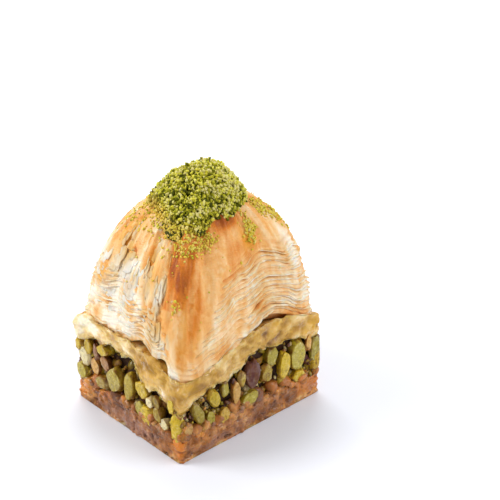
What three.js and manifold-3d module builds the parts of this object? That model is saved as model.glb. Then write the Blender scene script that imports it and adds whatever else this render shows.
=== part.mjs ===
// One piece of pistachio baklava, cut from a tray: a syrup-soaked base, a layer of pistachios,
// a soaked upper layer, a puffed dome of flaky leaves and a heap of ground pistachio on top.
// Millimetres, +Z up. The origin is the middle of the flat underside. The front face looks along -Y.
import * as THREE from "three";
import { mergeVertices } from "three/addons/utils/BufferGeometryUtils.js";
import Module from "manifold-3d";

const wasm = await Module();
wasm.setup();

// ---- Driving dimensions -------------------------------------------------------------------
const FRONT_WIDTH = 42; // front and back cut faces, along X
const SIDE_WIDTH = 36.8; // left and right cut faces
const CUT_ANGLE = THREE.MathUtils.degToRad(85); // between two neighbouring cuts
const BASE_HEIGHT = 5.5;
const SOAKED_THICKNESS = 3.8;
const SOAKED_MIDDLE = 15.6; // height of the soaked layer's underside in the middle
const DOME_FOOT = 18.5; // where the dome starts to narrow
const DOME_TOP = 48.5;
const HEAP_THICKNESS = 4.4; // ground pistachio over the dome's top
const LAYER_GAP = 0.3; // between touching layers
const LEAN = new THREE.Vector2(1.7, 0.7); // sideways shift of the dome's top

// Outlines are squarish curves |s|^n + |t|^n = 1: n is their squareness.
const BASE_SQUARENESS = 40;
const SOAKED_SQUARENESS = 28;
const DOME_SQUARENESS = { foot: 10, top: 3 };
const DOME_PROFILE = { reach: 0.965, rise: 2.4, round: 2.2 };

// The rim coordinate c runs once round the piece, counterclockwise from above, one unit a side:
// 0 to 1 is the right face, 1 to 2 the back, 2 to 3 the left and 3 to 4 the front.
const SIDES = 4;
// Height of the soaked layer's underside at the corner where each side starts.
const CORNER_LEVELS = [14.2, 13.8, 14.4, 12];
// How much it arches up over each side, and where along the side the arch peaks.
const SIDE_ARCHES = [
  { rise: 3.2, peak: 0.45 },
  { rise: 2.8, peak: 0.55 },
  { rise: 4.4, peak: 0.4 },
  { rise: 5, peak: 0.57 },
];
const ARCH_SHARPNESS = 1.4;
// Local bulges of its underside and its top: where on the rim, half their width in rim units,
// and how far they lift the surface.
const UNDERSIDE_BULGES = [
  { at: 3.37, half: 0.11, lift: -1.5 },
  { at: 1.3, half: 0.12, lift: -1 },
  { at: 0.6, half: 0.1, lift: -1.2 },
];
const TOPSIDE_BULGES = [
  { at: 2.33, half: 0.2, lift: -0.9 },
  { at: 2.87, half: 0.28, lift: 2.2 },
  { at: 0.95, half: 0.2, lift: 1.2 },
];
// Hollows under the dome's lip, given in the same way.
const LIP_HOLLOWS = [
  { at: 0.3, half: 0.16, lift: 2.0 },
  { at: 0.75, half: 0.1, lift: 1.4 },
  { at: 1.25, half: 0.12, lift: 1.6 },
  { at: 1.62, half: 0.18, lift: 2.3 },
  { at: 2.57, half: 0.13, lift: 2.8 },
  { at: 2.86, half: 0.08, lift: 1.6 },
  { at: 3.63, half: 0.22, lift: 2 },
];
const LIP_REACH = 0.8; // how far in the hollows under the lip go, as a share of the half width

const LEAF_BANDS = 7; // folded leaf edges that show round the dome's lower part
const LEAF_DEPTH = 0.6; // depth of the crevices between them
const LEAF_ZONE = 0.5; // share of the dome's height that they take
const RIB_DEPTH = 0.45; // wrinkles that run down the browned top

const KERNEL_COUNT = 78; // pistachio kernels that show in the four cut faces
const KERNEL_HALF_WIDTH = [1.5, 2.4];
const KERNEL_HALF_HEIGHT = { upright: [2.2, 4.2], lying: [1.5, 2.2] };
const UPRIGHT_SHARE = 0.75; // share of the kernels that stand upright
const FILLING_REACH = 0.94; // the filling's core behind the kernels, as a share of the half width

// Edge of the ground pistachio, as a share of the half width, at each half unit of the rim.
const HEAP_REACHES = [0.47, 0.44, 0.42, 0.42, 0.42, 0.5, 0.61, 0.56];
const HEAP_EDGE = 0.6; // its thickness there
const HEAP_SHIFT = new THREE.Vector2(1.2, -0.6); // sideways shift of its peak
const GRAIN_COUNT = 74;
const GRAIN_RADIUS = [0.8, 1.3];

// ---- Small helpers --------------------------------------------------------------------------
const { smoothstep, lerp, clamp } = THREE.MathUtils;
const GOLDEN_ANGLE = Math.PI * (3 - Math.sqrt(5));

// A seeded random draw, so that every build is the same (mulberry32).
function seeded(seed) {
  return () => {
    seed = (seed + 0x6d2b79f5) | 0;
    let mixed = Math.imul(seed ^ (seed >>> 15), 1 | seed);
    mixed = (mixed + Math.imul(mixed ^ (mixed >>> 7), 61 | mixed)) ^ mixed;
    return ((mixed ^ (mixed >>> 14)) >>> 0) / 4294967296;
  };
}

// Smooth unevenness round the rim, from -1 to 1. It closes on itself, as whole waves do.
function unevenness(c, phase) {
  const turn = (2 * Math.PI * c) / SIDES;
  return (
    0.5 * Math.sin(5 * turn + phase) +
    0.3 * Math.sin(11 * turn + 2.3 * phase) +
    0.2 * Math.sin(23 * turn + 3.7 * phase)
  );
}

// Direction of rim coordinate c in the cut square's own (s, t) plane, both -1 to 1.
function rimDirection(c) {
  const side = Math.floor(c) % SIDES;
  const along = 2 * (c - Math.floor(c)) - 1;
  const turn = (side * Math.PI) / 2 + Math.atan(along);
  return new THREE.Vector2(Math.cos(turn), Math.sin(turn));
}

// The point at rim coordinate c, a share `reach` of the way out, at height z.
function pointAt(c, reach, z, squareness, outward = 0) {
  const d = rimDirection(c);
  const n = squareness;
  const length = (Math.abs(d.x) ** n + Math.abs(d.y) ** n) ** (-1 / n);
  const s = d.x * length * reach;
  const t = d.y * length * reach;
  const x = (s * FRONT_WIDTH) / 2 + (t * SIDE_WIDTH * Math.cos(CUT_ANGLE)) / 2;
  const y = (t * SIDE_WIDTH * Math.sin(CUT_ANGLE)) / 2;
  const grown = 1 + outward / Math.max(Math.hypot(x, y), 1);
  return new THREE.Vector3(x * grown, y * grown, z);
}

// A closed body from rings, listed from its top pole to its bottom pole. A ring maps c to a point.
function bodyOf(rings, around) {
  const geometry = new THREE.SphereGeometry(1, around, rings.length - 1);
  const position = geometry.getAttribute("position");
  rings.forEach((ring, row) => {
    for (let i = 0; i <= around; i++) {
      const p = ring(((i % around) * SIDES) / around);
      position.setXYZ(row * (around + 1) + i, p.x, p.y, p.z);
    }
  });
  return geometry;
}

// three.js geometry to a manifold-3d solid, and back.
function solidOf(geometry) {
  const bare = geometry.index ? geometry.toNonIndexed() : geometry.clone();
  bare.deleteAttribute("normal");
  bare.deleteAttribute("uv");
  const merged = mergeVertices(bare, 1e-4);
  return new wasm.Manifold(
    new wasm.Mesh({
      numProp: 3,
      vertProperties: merged.getAttribute("position").array,
      triVerts: new Uint32Array(merged.index.array),
    }),
  );
}

function geometryOf(solid) {
  const mesh = solid.getMesh();
  const geometry = new THREE.BufferGeometry();
  geometry.setAttribute("position", new THREE.BufferAttribute(mesh.vertProperties, 3));
  geometry.setIndex(new THREE.BufferAttribute(mesh.triVerts, 1));
  geometry.computeVertexNormals();
  return geometry;
}

// Joins one core with many small pieces and keeps the core's body only.
function fused(core, pieces) {
  const joined = pieces.reduce((sum, piece) => sum.add(piece), core);
  const bodies = joined.decompose();
  return bodies.reduce((largest, body) => (body.volume() > largest.volume() ? body : largest));
}

// ---- Heights of the layers ------------------------------------------------------------------
// Sum of some local bulges at rim coordinate c.
function bulgesAt(c, bulges) {
  return bulges.reduce((sum, { at, half, lift }) => {
    const away = Math.abs(c - at);
    const distance = Math.min(away, SIDES - away) / half;
    return distance < 1 ? sum + lift * Math.cos((distance * Math.PI) / 2) : sum;
  }, 0);
}

// The arch that the soaked layer follows at the rim: low at the corners, high over each face.
function archAtRim(c) {
  const side = Math.floor(c) % SIDES;
  const along = c - Math.floor(c);
  const { rise, peak } = SIDE_ARCHES[side];
  const warped = along ** (Math.log(0.5) / Math.log(peak));
  const arch = Math.sin(Math.PI * warped) ** ARCH_SHARPNESS;
  const level = lerp(CORNER_LEVELS[side], CORNER_LEVELS[(side + 1) % SIDES], along);
  return level + rise * arch;
}

function soakedUndersideAtRim(c) {
  return archAtRim(c) + bulgesAt(c, UNDERSIDE_BULGES);
}

function soakedUnderside(c, reach) {
  return lerp(SOAKED_MIDDLE, soakedUndersideAtRim(c), smoothstep(reach, 0.3, 1));
}

function soakedTop(c, reach) {
  const atRim = archAtRim(c) + bulgesAt(c, TOPSIDE_BULGES);
  return lerp(SOAKED_MIDDLE, atRim, smoothstep(reach, 0.3, 1)) + SOAKED_THICKNESS;
}

// Height of the dome's lip over the soaked layer.
function lipLift(c) {
  return LAYER_GAP + bulgesAt(c, LIP_HOLLOWS);
}

// ---- The dome's surface ----------------------------------------------------------------------
function domeReach(z) {
  const share = clamp((z - DOME_FOOT) / (DOME_TOP - DOME_FOOT), 0, 1);
  const { reach, rise, round } = DOME_PROFILE;
  return reach * (1 - share ** rise) ** (1 / round);
}

function domeHeightAt(reach) {
  const { reach: foot, rise, round } = DOME_PROFILE;
  const share = (1 - (reach / foot) ** round) ** (1 / rise);
  return lerp(DOME_FOOT, DOME_TOP, share);
}

function domePoint(c, z, outward) {
  const share = clamp((z - DOME_FOOT) / (DOME_TOP - DOME_FOOT), 0, 1);
  const squareness = lerp(DOME_SQUARENESS.foot, DOME_SQUARENESS.top, share ** 0.7);
  const p = pointAt(c, domeReach(z), z, squareness, outward);
  p.x += LEAN.x * Math.sqrt(share);
  p.y += LEAN.y * Math.sqrt(share);
  return p;
}

// Wrinkles down the browned top, which fade out into the leaf edges below and the heap above.
function ribs(c, share) {
  const turn = (2 * Math.PI * c) / SIDES;
  const wave = Math.sin(14 * turn + 1.3) + 0.6 * Math.sin(19 * turn + 0.4 + 2 * share);
  const strength = smoothstep(share, LEAF_ZONE, 0.7) * (1 - smoothstep(share, 0.85, 1));
  return RIB_DEPTH * strength * wave * 0.6;
}

// ---- The five nodes --------------------------------------------------------------------------
function basePastry() {
  const edge = (height, inset, phase) => (c) =>
    pointAt(c, 1, height, BASE_SQUARENESS, 0.25 * unevenness(c, phase) - inset);
  const rings = [
    () => new THREE.Vector3(0, 0, BASE_HEIGHT),
    edge(BASE_HEIGHT, 0.35, 0.4),
    edge(BASE_HEIGHT * 0.85, 0, 0.9),
    edge(BASE_HEIGHT * 0.5, 0.15, 1.7),
    edge(BASE_HEIGHT * 0.18, 0, 2.6),
    edge(0, 0.3, 3.1),
    () => new THREE.Vector3(0, 0, 0),
  ];
  return bodyOf(rings, 64);
}

function soakedLayer() {
  const top = (reach) => (c) => pointAt(c, reach, soakedTop(c, reach), SOAKED_SQUARENESS);
  const under = (reach) => (c) => pointAt(c, reach, soakedUnderside(c, reach), SOAKED_SQUARENESS);
  const edge = (share, outward, phase) => (c) => {
    const z = lerp(soakedUnderside(c, 1), soakedTop(c, 1), share);
    return pointAt(c, 1, z, SOAKED_SQUARENESS, outward + 0.3 * unevenness(c, phase));
  };
  const rings = [
    () => new THREE.Vector3(0, 0, SOAKED_MIDDLE + SOAKED_THICKNESS),
    top(0.5),
    top(0.75),
    top(0.92),
    edge(0.93, -0.35, 0.5),
    edge(0.7, 0.1, 1.1),
    edge(0.35, 0.15, 1.9),
    edge(0.08, -0.2, 2.4),
    under(0.93),
    under(0.75),
    under(0.5),
    () => new THREE.Vector3(0, 0, SOAKED_MIDDLE),
  ];
  return bodyOf(rings, 72);
}

function flakyDome() {
  const lip = (c) => soakedTop(c, 1) + lipLift(c);
  const zoneTop = (c) => lerp(DOME_FOOT, DOME_TOP, LEAF_ZONE) + 0.8 * unevenness(c, 4.2);
  const rings = [() => new THREE.Vector3(LEAN.x, LEAN.y, DOME_TOP)];
  const upperShares = [0.985, 0.95, 0.89, 0.81, 0.72, 0.62];
  for (const share of upperShares) {
    const z = lerp(DOME_FOOT, DOME_TOP, share);
    rings.push((c) => domePoint(c, z, ribs(c, share)));
  }
  // Each leaf edge is a rounded band: a crest row, then a crevice row under it.
  const bandRows = 2 * LEAF_BANDS;
  for (let row = 0; row <= bandRows; row++) {
    const crevice = row % 2 === 0 && row > 0 && row < bandRows;
    rings.push((c) => {
      const z = lerp(zoneTop(c), lip(c), row / bandRows);
      const depth = crevice ? -LEAF_DEPTH * (0.75 + 0.25 * unevenness(c, row)) : 0;
      return domePoint(c, z, depth + 0.15 * unevenness(c, 0.7 * row));
    });
  }
  const floor = (reach, share) => (c) => {
    const z = soakedTop(c, reach) + lerp(LAYER_GAP, lipLift(c), share);
    return pointAt(c, reach, z, DOME_SQUARENESS.foot);
  };
  rings.push(floor(0.9, 0.8), floor(LIP_REACH, 0), floor(0.5, 0));
  rings.push(() => new THREE.Vector3(0, 0, SOAKED_MIDDLE + SOAKED_THICKNESS + LAYER_GAP));
  return bodyOf(rings, 72);
}

// One kernel: an egg shape, turned at random, its middle a half width behind the cut face.
function kernelAt(c, high, draw) {
  const ceiling = soakedUndersideAtRim(c) - LAYER_GAP - 0.1;
  const upright = draw() < UPRIGHT_SHARE;
  const [least, most] = upright ? KERNEL_HALF_HEIGHT.upright : KERNEL_HALF_HEIGHT.lying;
  const halfHeight = Math.min(lerp(least, most, draw()), (ceiling - BASE_HEIGHT) / 2 - 0.1);
  const halfWidth = lerp(...KERNEL_HALF_WIDTH, draw());
  const kernel = new THREE.SphereGeometry(1, 6, 4);
  kernel.rotateX(Math.PI / 2); // poles up
  kernel.scale(halfWidth, halfWidth * 0.85, halfHeight);
  kernel.rotateY((draw() - 0.5) * 0.5);
  kernel.rotateZ(Math.PI * draw());
  const upperZ = ceiling - halfHeight - 0.6 * draw();
  const lowerZ = BASE_HEIGHT + 0.9 * halfHeight + 0.4 * draw();
  const middle = pointAt(c, 1, high ? upperZ : lowerZ, BASE_SQUARENESS, -0.95 * halfWidth);
  kernel.translate(middle.x, middle.y, middle.z);
  kernel.computeBoundingBox();
  kernel.translate(0, 0, Math.min(0, ceiling - kernel.boundingBox.max.z));
  return solidOf(kernel);
}

// Chopped kernels stand side by side in the cut faces, in two rough rows, on a smaller core.
function pistachioFilling(soakedSolid) {
  const draw = seeded(11);
  const overTop = 1.5; // the core is made too high, and the soaked layer's shape cuts it
  const wall = (height) => (c) => pointAt(c, FILLING_REACH, height(c), BASE_SQUARENESS);
  const coreRings = [
    () => new THREE.Vector3(0, 0, SOAKED_MIDDLE + overTop),
    wall((c) => soakedUndersideAtRim(c) + overTop),
    wall((c) => lerp(BASE_HEIGHT, soakedUndersideAtRim(c), 0.5)),
    wall(() => BASE_HEIGHT),
    () => new THREE.Vector3(0, 0, BASE_HEIGHT),
  ];
  const core = solidOf(bodyOf(coreRings, 64)).subtract(soakedSolid.translate([0, 0, -LAYER_GAP]));
  const kernels = [];
  for (let i = 0; i < KERNEL_COUNT; i++) {
    const c = ((i + 0.3 + 0.4 * draw()) * SIDES) / KERNEL_COUNT;
    kernels.push(kernelAt(c, i % 2 === 0, draw));
  }
  return geometryOf(fused(core, kernels).trimByPlane([0, 0, 1], BASE_HEIGHT));
}

// Ground pistachio: a low heap that follows the dome's top, with bumps the size of its grains.
function groundPistachio() {
  const draw = seeded(5);
  const edgeReach = (c) => {
    const place = c * (HEAP_REACHES.length / SIDES);
    const [from, to] = [Math.floor(place), Math.floor(place) + 1].map(
      (i) => HEAP_REACHES[i % HEAP_REACHES.length],
    );
    const reach = lerp(from, to, smoothstep(place - Math.floor(place), 0, 1));
    return reach * (1 + 0.05 * unevenness(c, 0.8));
  };
  const thickness = (share) => lerp(HEAP_EDGE, HEAP_THICKNESS, (1 - share ** 2) ** 0.9);
  const onDome = (c, share, up) => {
    const p = domePoint(c, domeHeightAt(edgeReach(c) * share), 0);
    const shift = (1 - share ** 2) * (up / HEAP_THICKNESS);
    p.x += HEAP_SHIFT.x * shift;
    p.y += HEAP_SHIFT.y * shift;
    p.z += LAYER_GAP + up;
    return p;
  };
  const rings = [
    () => onDome(0, 0, HEAP_THICKNESS),
    ...[0.3, 0.6, 0.85, 0.97].map((share) => (c) => onDome(c, share, thickness(share))),
    (c) => onDome(c, 1, HEAP_EDGE * 0.4),
    ...[0.95, 0.7, 0.45, 0.2].map((share) => (c) => onDome(c, share, 0)),
    () => onDome(0, 0, 0),
  ];
  const grains = [];
  for (let i = 0; i < GRAIN_COUNT; i++) {
    const share = 0.96 * Math.sqrt((i + 0.5) / GRAIN_COUNT);
    const c = ((i * GOLDEN_ANGLE * SIDES) / (2 * Math.PI)) % SIDES;
    const grain = new THREE.OctahedronGeometry(lerp(...GRAIN_RADIUS, draw()), 0);
    grain.rotateX(Math.PI * draw());
    grain.rotateZ(Math.PI * draw());
    const p = onDome(c, share, thickness(share));
    grain.translate(p.x, p.y, p.z);
    grains.push(solidOf(grain));
  }
  return geometryOf(fused(solidOf(bodyOf(rings, 40)), grains));
}

// ---- Assembly --------------------------------------------------------------------------------
function finish(color, roughness) {
  return new THREE.MeshStandardMaterial({ color, roughness, metalness: 0 });
}

function node(name, geometry, material) {
  const mesh = new THREE.Mesh(geometry, material);
  mesh.name = name;
  return mesh;
}

const soakedGeometry = soakedLayer();
const piece = new THREE.Group();
piece.add(
  node("base_pastry", basePastry(), finish(0xa8652f, 0.45)),
  node("pistachio_filling", pistachioFilling(solidOf(soakedGeometry)), finish(0x8f9138, 0.4)),
  node("soaked_layer", soakedGeometry, finish(0xc9a54e, 0.35)),
  node("flaky_dome", flakyDome(), finish(0xe9b878, 0.5)),
  node("ground_pistachio", groundPistachio(), finish(0x93a32c, 0.8)),
);

export default piece;
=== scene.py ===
# %% [markdown]
# # A piece of pistachio baklava
# Tray baklava is built from leaves of dough as thin as paper. From the bottom up this piece has
# a base of leaves soaked in syrup, a layer of chopped pistachios, a few more soaked leaves, a dome
# of dry leaves that puffed up in the oven, and a pinch of ground pistachio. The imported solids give
# every layer its place. This script keeps to those places and gives each layer its real surface.

# %% Load the frame
import itertools
import math
import bmesh
import bpy
import numpy as np
from mathutils import Matrix, Vector
from mathutils.bvhtree import BVHTree


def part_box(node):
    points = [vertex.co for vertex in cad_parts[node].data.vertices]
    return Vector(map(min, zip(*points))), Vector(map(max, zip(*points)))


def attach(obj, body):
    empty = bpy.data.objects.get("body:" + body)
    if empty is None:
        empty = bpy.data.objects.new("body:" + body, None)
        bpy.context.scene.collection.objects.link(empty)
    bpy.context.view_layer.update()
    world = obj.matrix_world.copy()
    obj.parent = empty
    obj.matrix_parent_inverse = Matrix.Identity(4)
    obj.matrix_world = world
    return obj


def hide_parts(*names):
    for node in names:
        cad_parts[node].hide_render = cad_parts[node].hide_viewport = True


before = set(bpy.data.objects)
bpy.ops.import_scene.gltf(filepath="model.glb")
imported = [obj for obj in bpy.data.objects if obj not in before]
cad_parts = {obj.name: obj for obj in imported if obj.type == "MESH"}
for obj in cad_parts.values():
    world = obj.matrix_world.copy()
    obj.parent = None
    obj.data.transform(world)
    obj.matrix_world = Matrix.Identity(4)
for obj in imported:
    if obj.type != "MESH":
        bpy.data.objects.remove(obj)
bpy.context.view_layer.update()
print("nodes:", ", ".join(sorted(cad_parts)))

# %% [markdown]
# The camera comes first, because every later choice of size and colour is judged through it. It
# stands in front of the near corner, 25 degrees above the table, with a long lens, so that the two
# front faces show about equally and the upright edges stay nearly parallel.

# %% Camera
MM = 0.001  # shapes below are worked out in millimetres, and meshes are in metres
CAMERA_PLACE = Vector((-188.72, -203.02, 163.75)) * MM
CAMERA_LOOK = Vector((0.64324, 0.63847, -0.42262))
CAMERA_LENS, SENSOR_WIDTH = 104.4, 36
PIECE_MIDDLE = Vector((0, 0, 25)) * MM

camera = bpy.data.objects.new("camera", bpy.data.cameras.new("camera"))
camera.data.lens = CAMERA_LENS
camera.data.sensor_width = SENSOR_WIDTH
camera.location = CAMERA_PLACE
camera.rotation_mode = "QUATERNION"
camera.rotation_quaternion = CAMERA_LOOK.to_track_quat("-Z", "Y")
bpy.context.collection.objects.link(camera)
bpy.context.scene.camera = camera
print("camera", round((CAMERA_PLACE - PIECE_MIDDLE).length / MM), "mm from the piece")

# %% [markdown]
# ## The outline that all layers share
# The piece is cut from a tray, so every layer has the same squarish outline. A place on that
# outline is given by one number, the rim coordinate c. It runs once round the piece: 0 to 1 is the
# right face, 1 to 2 the back, 2 to 3 the left face and 3 to 4 the front. A drawn outline would do
# too, but with this number a table can also say where each nut, fold or browned spot lies.

# %% Outline
SIDES = 4
FRONT_WIDTH, SIDE_WIDTH = 42.0, 36.8
CUT_ANGLE = math.radians(85)
CUT_SQUARENESS = 40  # the higher, the sharper the corners


def blend(a, b, share):
    return a + (b - a) * share


def ease(x, low, high):
    """0 below low, 1 above high, and a smooth step between them."""
    t = np.clip((x - low) / (high - low), 0, 1)
    return t * t * (3 - 2 * t)


def rim_distance(c, at):
    """How far apart two places on the rim are, the shorter way round."""
    away = np.abs(c - at)
    return np.minimum(away, SIDES - away)


def bulges_at(c, bulges):
    total = np.zeros_like(c, dtype=float)
    for at, half, lift in bulges:
        total += lift * np.cos(np.minimum(rim_distance(c, at) / half, 1) * np.pi / 2)
    return total


def point_at(c, reach, z, squareness, outward=0.0):
    """Points in mm at rim coordinate c, a share `reach` of the way out, at height z."""
    c, reach, z = np.broadcast_arrays(c, reach, z)
    turn = (np.floor(c) % SIDES) * np.pi / 2 + np.arctan(2 * (c - np.floor(c)) - 1)
    across, along = np.cos(turn), np.sin(turn)
    length = (abs(across) ** squareness + abs(along) ** squareness) ** (-1 / squareness)
    s, t = across * length * reach, along * length * reach
    x = (s * FRONT_WIDTH + t * SIDE_WIDTH * math.cos(CUT_ANGLE)) / 2
    y = t * SIDE_WIDTH * math.sin(CUT_ANGLE) / 2
    grown = 1 + outward / np.maximum(np.hypot(x, y), 1)
    return np.stack([x * grown, y * grown, z], axis=-1)


print("the near corner stands at", np.round(point_at(np.array(3.0), 1.0, 0.0, CUT_SQUARENESS)[:2], 1), "mm")

# %% [markdown]
# ## The arch over each face
# Nuts lie higher in the middle of a face than at its corners, so the leaves on them run in an arch.
# Each arch is a power of a sine, with its peak moved a little to one side. The heights are the ones
# that the solids have, so that each layer stays inside its own solid's place.

# %% Arch over each face
BASE_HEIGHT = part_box("base_pastry")[1][2] / MM
SOAKED_THICKNESS, SOAKED_MIDDLE = 3.8, 15.6
FLAT_REACH = 0.3  # the leaves lie level this share of the way out, and then rise or fall to the rim
# For each corner and each face, from the right face round:
CORNER_LEVELS = np.array([14.2, 13.8, 14.4, 12.0])
ARCH_RISES = np.array([3.2, 2.8, 4.4, 5.0])
ARCH_PEAKS = np.array([0.45, 0.55, 0.4, 0.57])
ARCH_SHARPNESS = 1.4
# Local bulges: rim coordinate, half width in rim units, lift in mm.
UNDERSIDE_BULGES = ((3.37, 0.11, -1.5), (1.3, 0.12, -1.0), (0.6, 0.1, -1.2))
TOPSIDE_BULGES = ((2.33, 0.2, -0.9), (2.87, 0.28, 2.2), (0.95, 0.2, 1.2))


def arch_at_rim(c):
    """The arch that the soaked leaves follow: low at the corners, high over each face."""
    side = np.floor(c).astype(int) % SIDES
    along = c - np.floor(c)
    warped = along ** (math.log(0.5) / np.log(ARCH_PEAKS[side]))
    arch = np.sin(np.pi * warped) ** ARCH_SHARPNESS
    level = blend(CORNER_LEVELS[side], CORNER_LEVELS[(side + 1) % SIDES], along)
    return level + ARCH_RISES[side] * arch


def underside_at_rim(c):
    return arch_at_rim(c) + bulges_at(c, UNDERSIDE_BULGES)


def soaked_underside(c, reach):
    return blend(SOAKED_MIDDLE, underside_at_rim(c), ease(reach, FLAT_REACH, 1))


def soaked_top(c, reach):
    at_rim = arch_at_rim(c) + bulges_at(c, TOPSIDE_BULGES)
    return blend(SOAKED_MIDDLE, at_rim, ease(reach, FLAT_REACH, 1)) + SOAKED_THICKNESS


highest = float(underside_at_rim(np.linspace(0, SIDES, 400, endpoint=False)).max())
print("the base is", round(BASE_HEIGHT, 1), "mm high, and the filling reaches up to", round(highest, 1), "mm")

# %% [markdown]
# ## Smooth randomness
# Baked dough is uneven at every size. One function gives all of that unevenness: a random value at
# each corner of a grid of boxes, blended smoothly between the corners. Long, thin boxes give
# streaks and wrinkles, and flat ones give layers. It is seeded, so each run makes the same piece.
# Where several sizes are laid over each other, a table lists them as strength, size in mm and seed.

# %% Mottle
HASH_STEPS = np.array([73856093, 19349663, 83492791], dtype=np.uint32)


def grid_value(cell, seed):
    """A fixed random number from -1 to 1 for each grid corner."""
    mixed = cell.astype(np.int64).astype(np.uint32) * HASH_STEPS
    h = mixed[..., 0] ^ mixed[..., 1] ^ mixed[..., 2] ^ np.uint32(seed * 7919 + 13)
    for shift, factor in ((16, 0x7FEB352D), (15, 0x846CA68B)):
        h = (h ^ (h >> np.uint32(shift))) * np.uint32(factor)
    h ^= h >> np.uint32(16)
    return h / 2.0**31 - 1


def mottle(points, size, seed):
    """Smooth random value from -1 to 1 that changes over `size` mm, one number or (x, y, z)."""
    q = points / np.asarray(size, dtype=float)
    cell = np.floor(q)
    part = q - cell
    part = part * part * (3 - 2 * part)
    total = np.zeros(points.shape[:-1])
    for corner in itertools.product((0, 1), repeat=3):
        weight = np.prod(np.where(corner, part, 1 - part), axis=-1)
        total += weight * grid_value(cell + corner, seed)
    return total


def mottles(points, layers):
    """Sum of mottles of several sizes: each layer is strength, size in mm, seed."""
    return sum(strength * mottle(points, size, seed) for strength, size, seed in layers)


def spots(c, z, places):
    """Sum of soft round spots: rim coordinate, height, half width in rim units, half height, strength."""
    total = np.zeros(np.broadcast(c, z).shape)
    for at, height, wide, tall, strength in places:
        total += strength * np.exp(-((rim_distance(c, at) / wide) ** 2) - ((z - height) / tall) ** 2)
    return total


print("mottle of three points", np.round(mottle(np.eye(3) * 5, 2.0, 1), 2))

# %% [markdown]
# ## From a sphere to a layer
# Every layer is one closed lump, so each starts as a bmesh sphere, whose rings are then moved to
# where the layer's surface lies. A sphere has its poles and seam closed already, and its faces look
# outwards. A coarse sphere is subdivided, which is far quicker than asking for a fine one.

# %% Sphere to layer
SPHERE_CUTS = 3  # each edge of the coarse sphere becomes four


def sphere_grid(around, rings):
    """A sphere's bmesh, with each vertex's rim coordinate and its share of the way from pole to pole."""
    parts = SPHERE_CUTS + 1
    bm = bmesh.new()
    bmesh.ops.create_uvsphere(bm, u_segments=around // parts, v_segments=rings // parts, radius=1)
    bmesh.ops.subdivide_edges(bm, edges=bm.edges[:], cuts=SPHERE_CUTS, use_grid_fill=True)
    co = np.array([v.co[:] for v in bm.verts])
    co /= np.linalg.norm(co, axis=1)[:, None]
    c = np.arctan2(co[:, 1], co[:, 0]) / (2 * np.pi) * around
    c = (np.round(c) % around) * SIDES / around
    share = np.round(np.arccos(np.clip(co[:, 2], -1, 1)) / np.pi * rings) / rings
    return bm, c, share


def to_object(bm, name, points=None):
    """A linked object from a bmesh. points, in mm, are its vertices' new places."""
    mesh = bpy.data.meshes.new(name)
    bm.to_mesh(mesh)
    bm.free()
    if points is not None:
        mesh.vertices.foreach_set("co", (points * MM).astype(np.float32).ravel())
        mesh.update()
    mesh.shade_smooth()
    piece = bpy.data.objects.new(name, mesh)
    bpy.context.collection.objects.link(piece)
    return piece


def along_edge(share, top, foot):
    """Share of the way down a layer's upright edge, and which rings lie on that edge."""
    return np.clip((share - top) / (foot - top), 0, 1), (share >= top) & (share <= foot)


def edge_rounding(down, sharpness):
    """0 in the middle of an upright edge, 1 at its upper and lower rim."""
    return 1 - np.sqrt(1 - np.clip(2 * abs(down - 0.5), 0, 1) ** sharpness)


print("a test sphere has", len(sphere_grid(16, 8)[1]), "vertices")

# %% [markdown]
# ## Relief, paint and place
# Fine relief is added along a layer's own normals, as it is in sculpting. What the oven and the
# syrup did to a place is stored as a number on each vertex. A finish that reads these numbers
# follows the shape exactly, where a texture laid over it would slip. Last, each piece takes its
# node's place on the one body.

# %% Relief, paint and place
def points_of(piece):
    co = np.empty(len(piece.data.vertices) * 3, dtype=np.float32)
    piece.data.vertices.foreach_get("co", co)
    return co.reshape(-1, 3).astype(float) / MM


def normals_of(piece):
    directions = np.empty(len(piece.data.vertices) * 3, dtype=np.float32)
    piece.data.vertices.foreach_get("normal", directions)
    return directions.reshape(-1, 3).astype(float)


def raise_surface(piece, heights):
    """Moves each vertex along its normal by that many mm."""
    moved = points_of(piece) + normals_of(piece) * heights[:, None]
    piece.data.vertices.foreach_set("co", (moved * MM).astype(np.float32).ravel())
    piece.data.update()


def paint(piece, name, values):
    """Stores one number for each vertex, which a material can read by that name."""
    layer = piece.data.attributes.new(name, "FLOAT", "POINT")
    layer.data.foreach_set("value", np.asarray(values, dtype=np.float32))


def settle(piece, node):
    """Puts a finished piece in its CAD node's place."""
    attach(piece, "root")
    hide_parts(node)
    triangles = sum(len(p.vertices) - 2 for p in piece.data.polygons)
    print(piece.name, "stands for", node, "with", triangles, "triangles")


print("pieces can be shaped, painted and put in place")

# %% [markdown]
# ## The soaked base
# The base is a stack of pressed leaves that drank most of the syrup. It turned orange where it
# caramelised and brown where it is soaked through. Noise alone would colour it evenly all over, so
# soft spots say where it is warm, pale or dark, and where its two rims rise or dip.

# %% Places on the base
# Lifts of the foot off the table and dips of the top: rim coordinate, half width in rim units, mm.
FOOT_LIFTS = ((2.05, 0.2, 1.1), (0.0, 0.1, 0.5), (1.4, 0.15, 0.6))
TOP_DIPS = (  # up where positive
    (2.05, 0.22, -1.5), (2.55, 0.15, -0.5), (3.1, 0.1, 0.6), (3.36, 0.09, 0.7), (3.6, 0.1, 0.6),
    (3.9, 0.12, -0.6), (0.4, 0.2, -0.7), (1.3, 0.2, 0.6),
)
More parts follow.
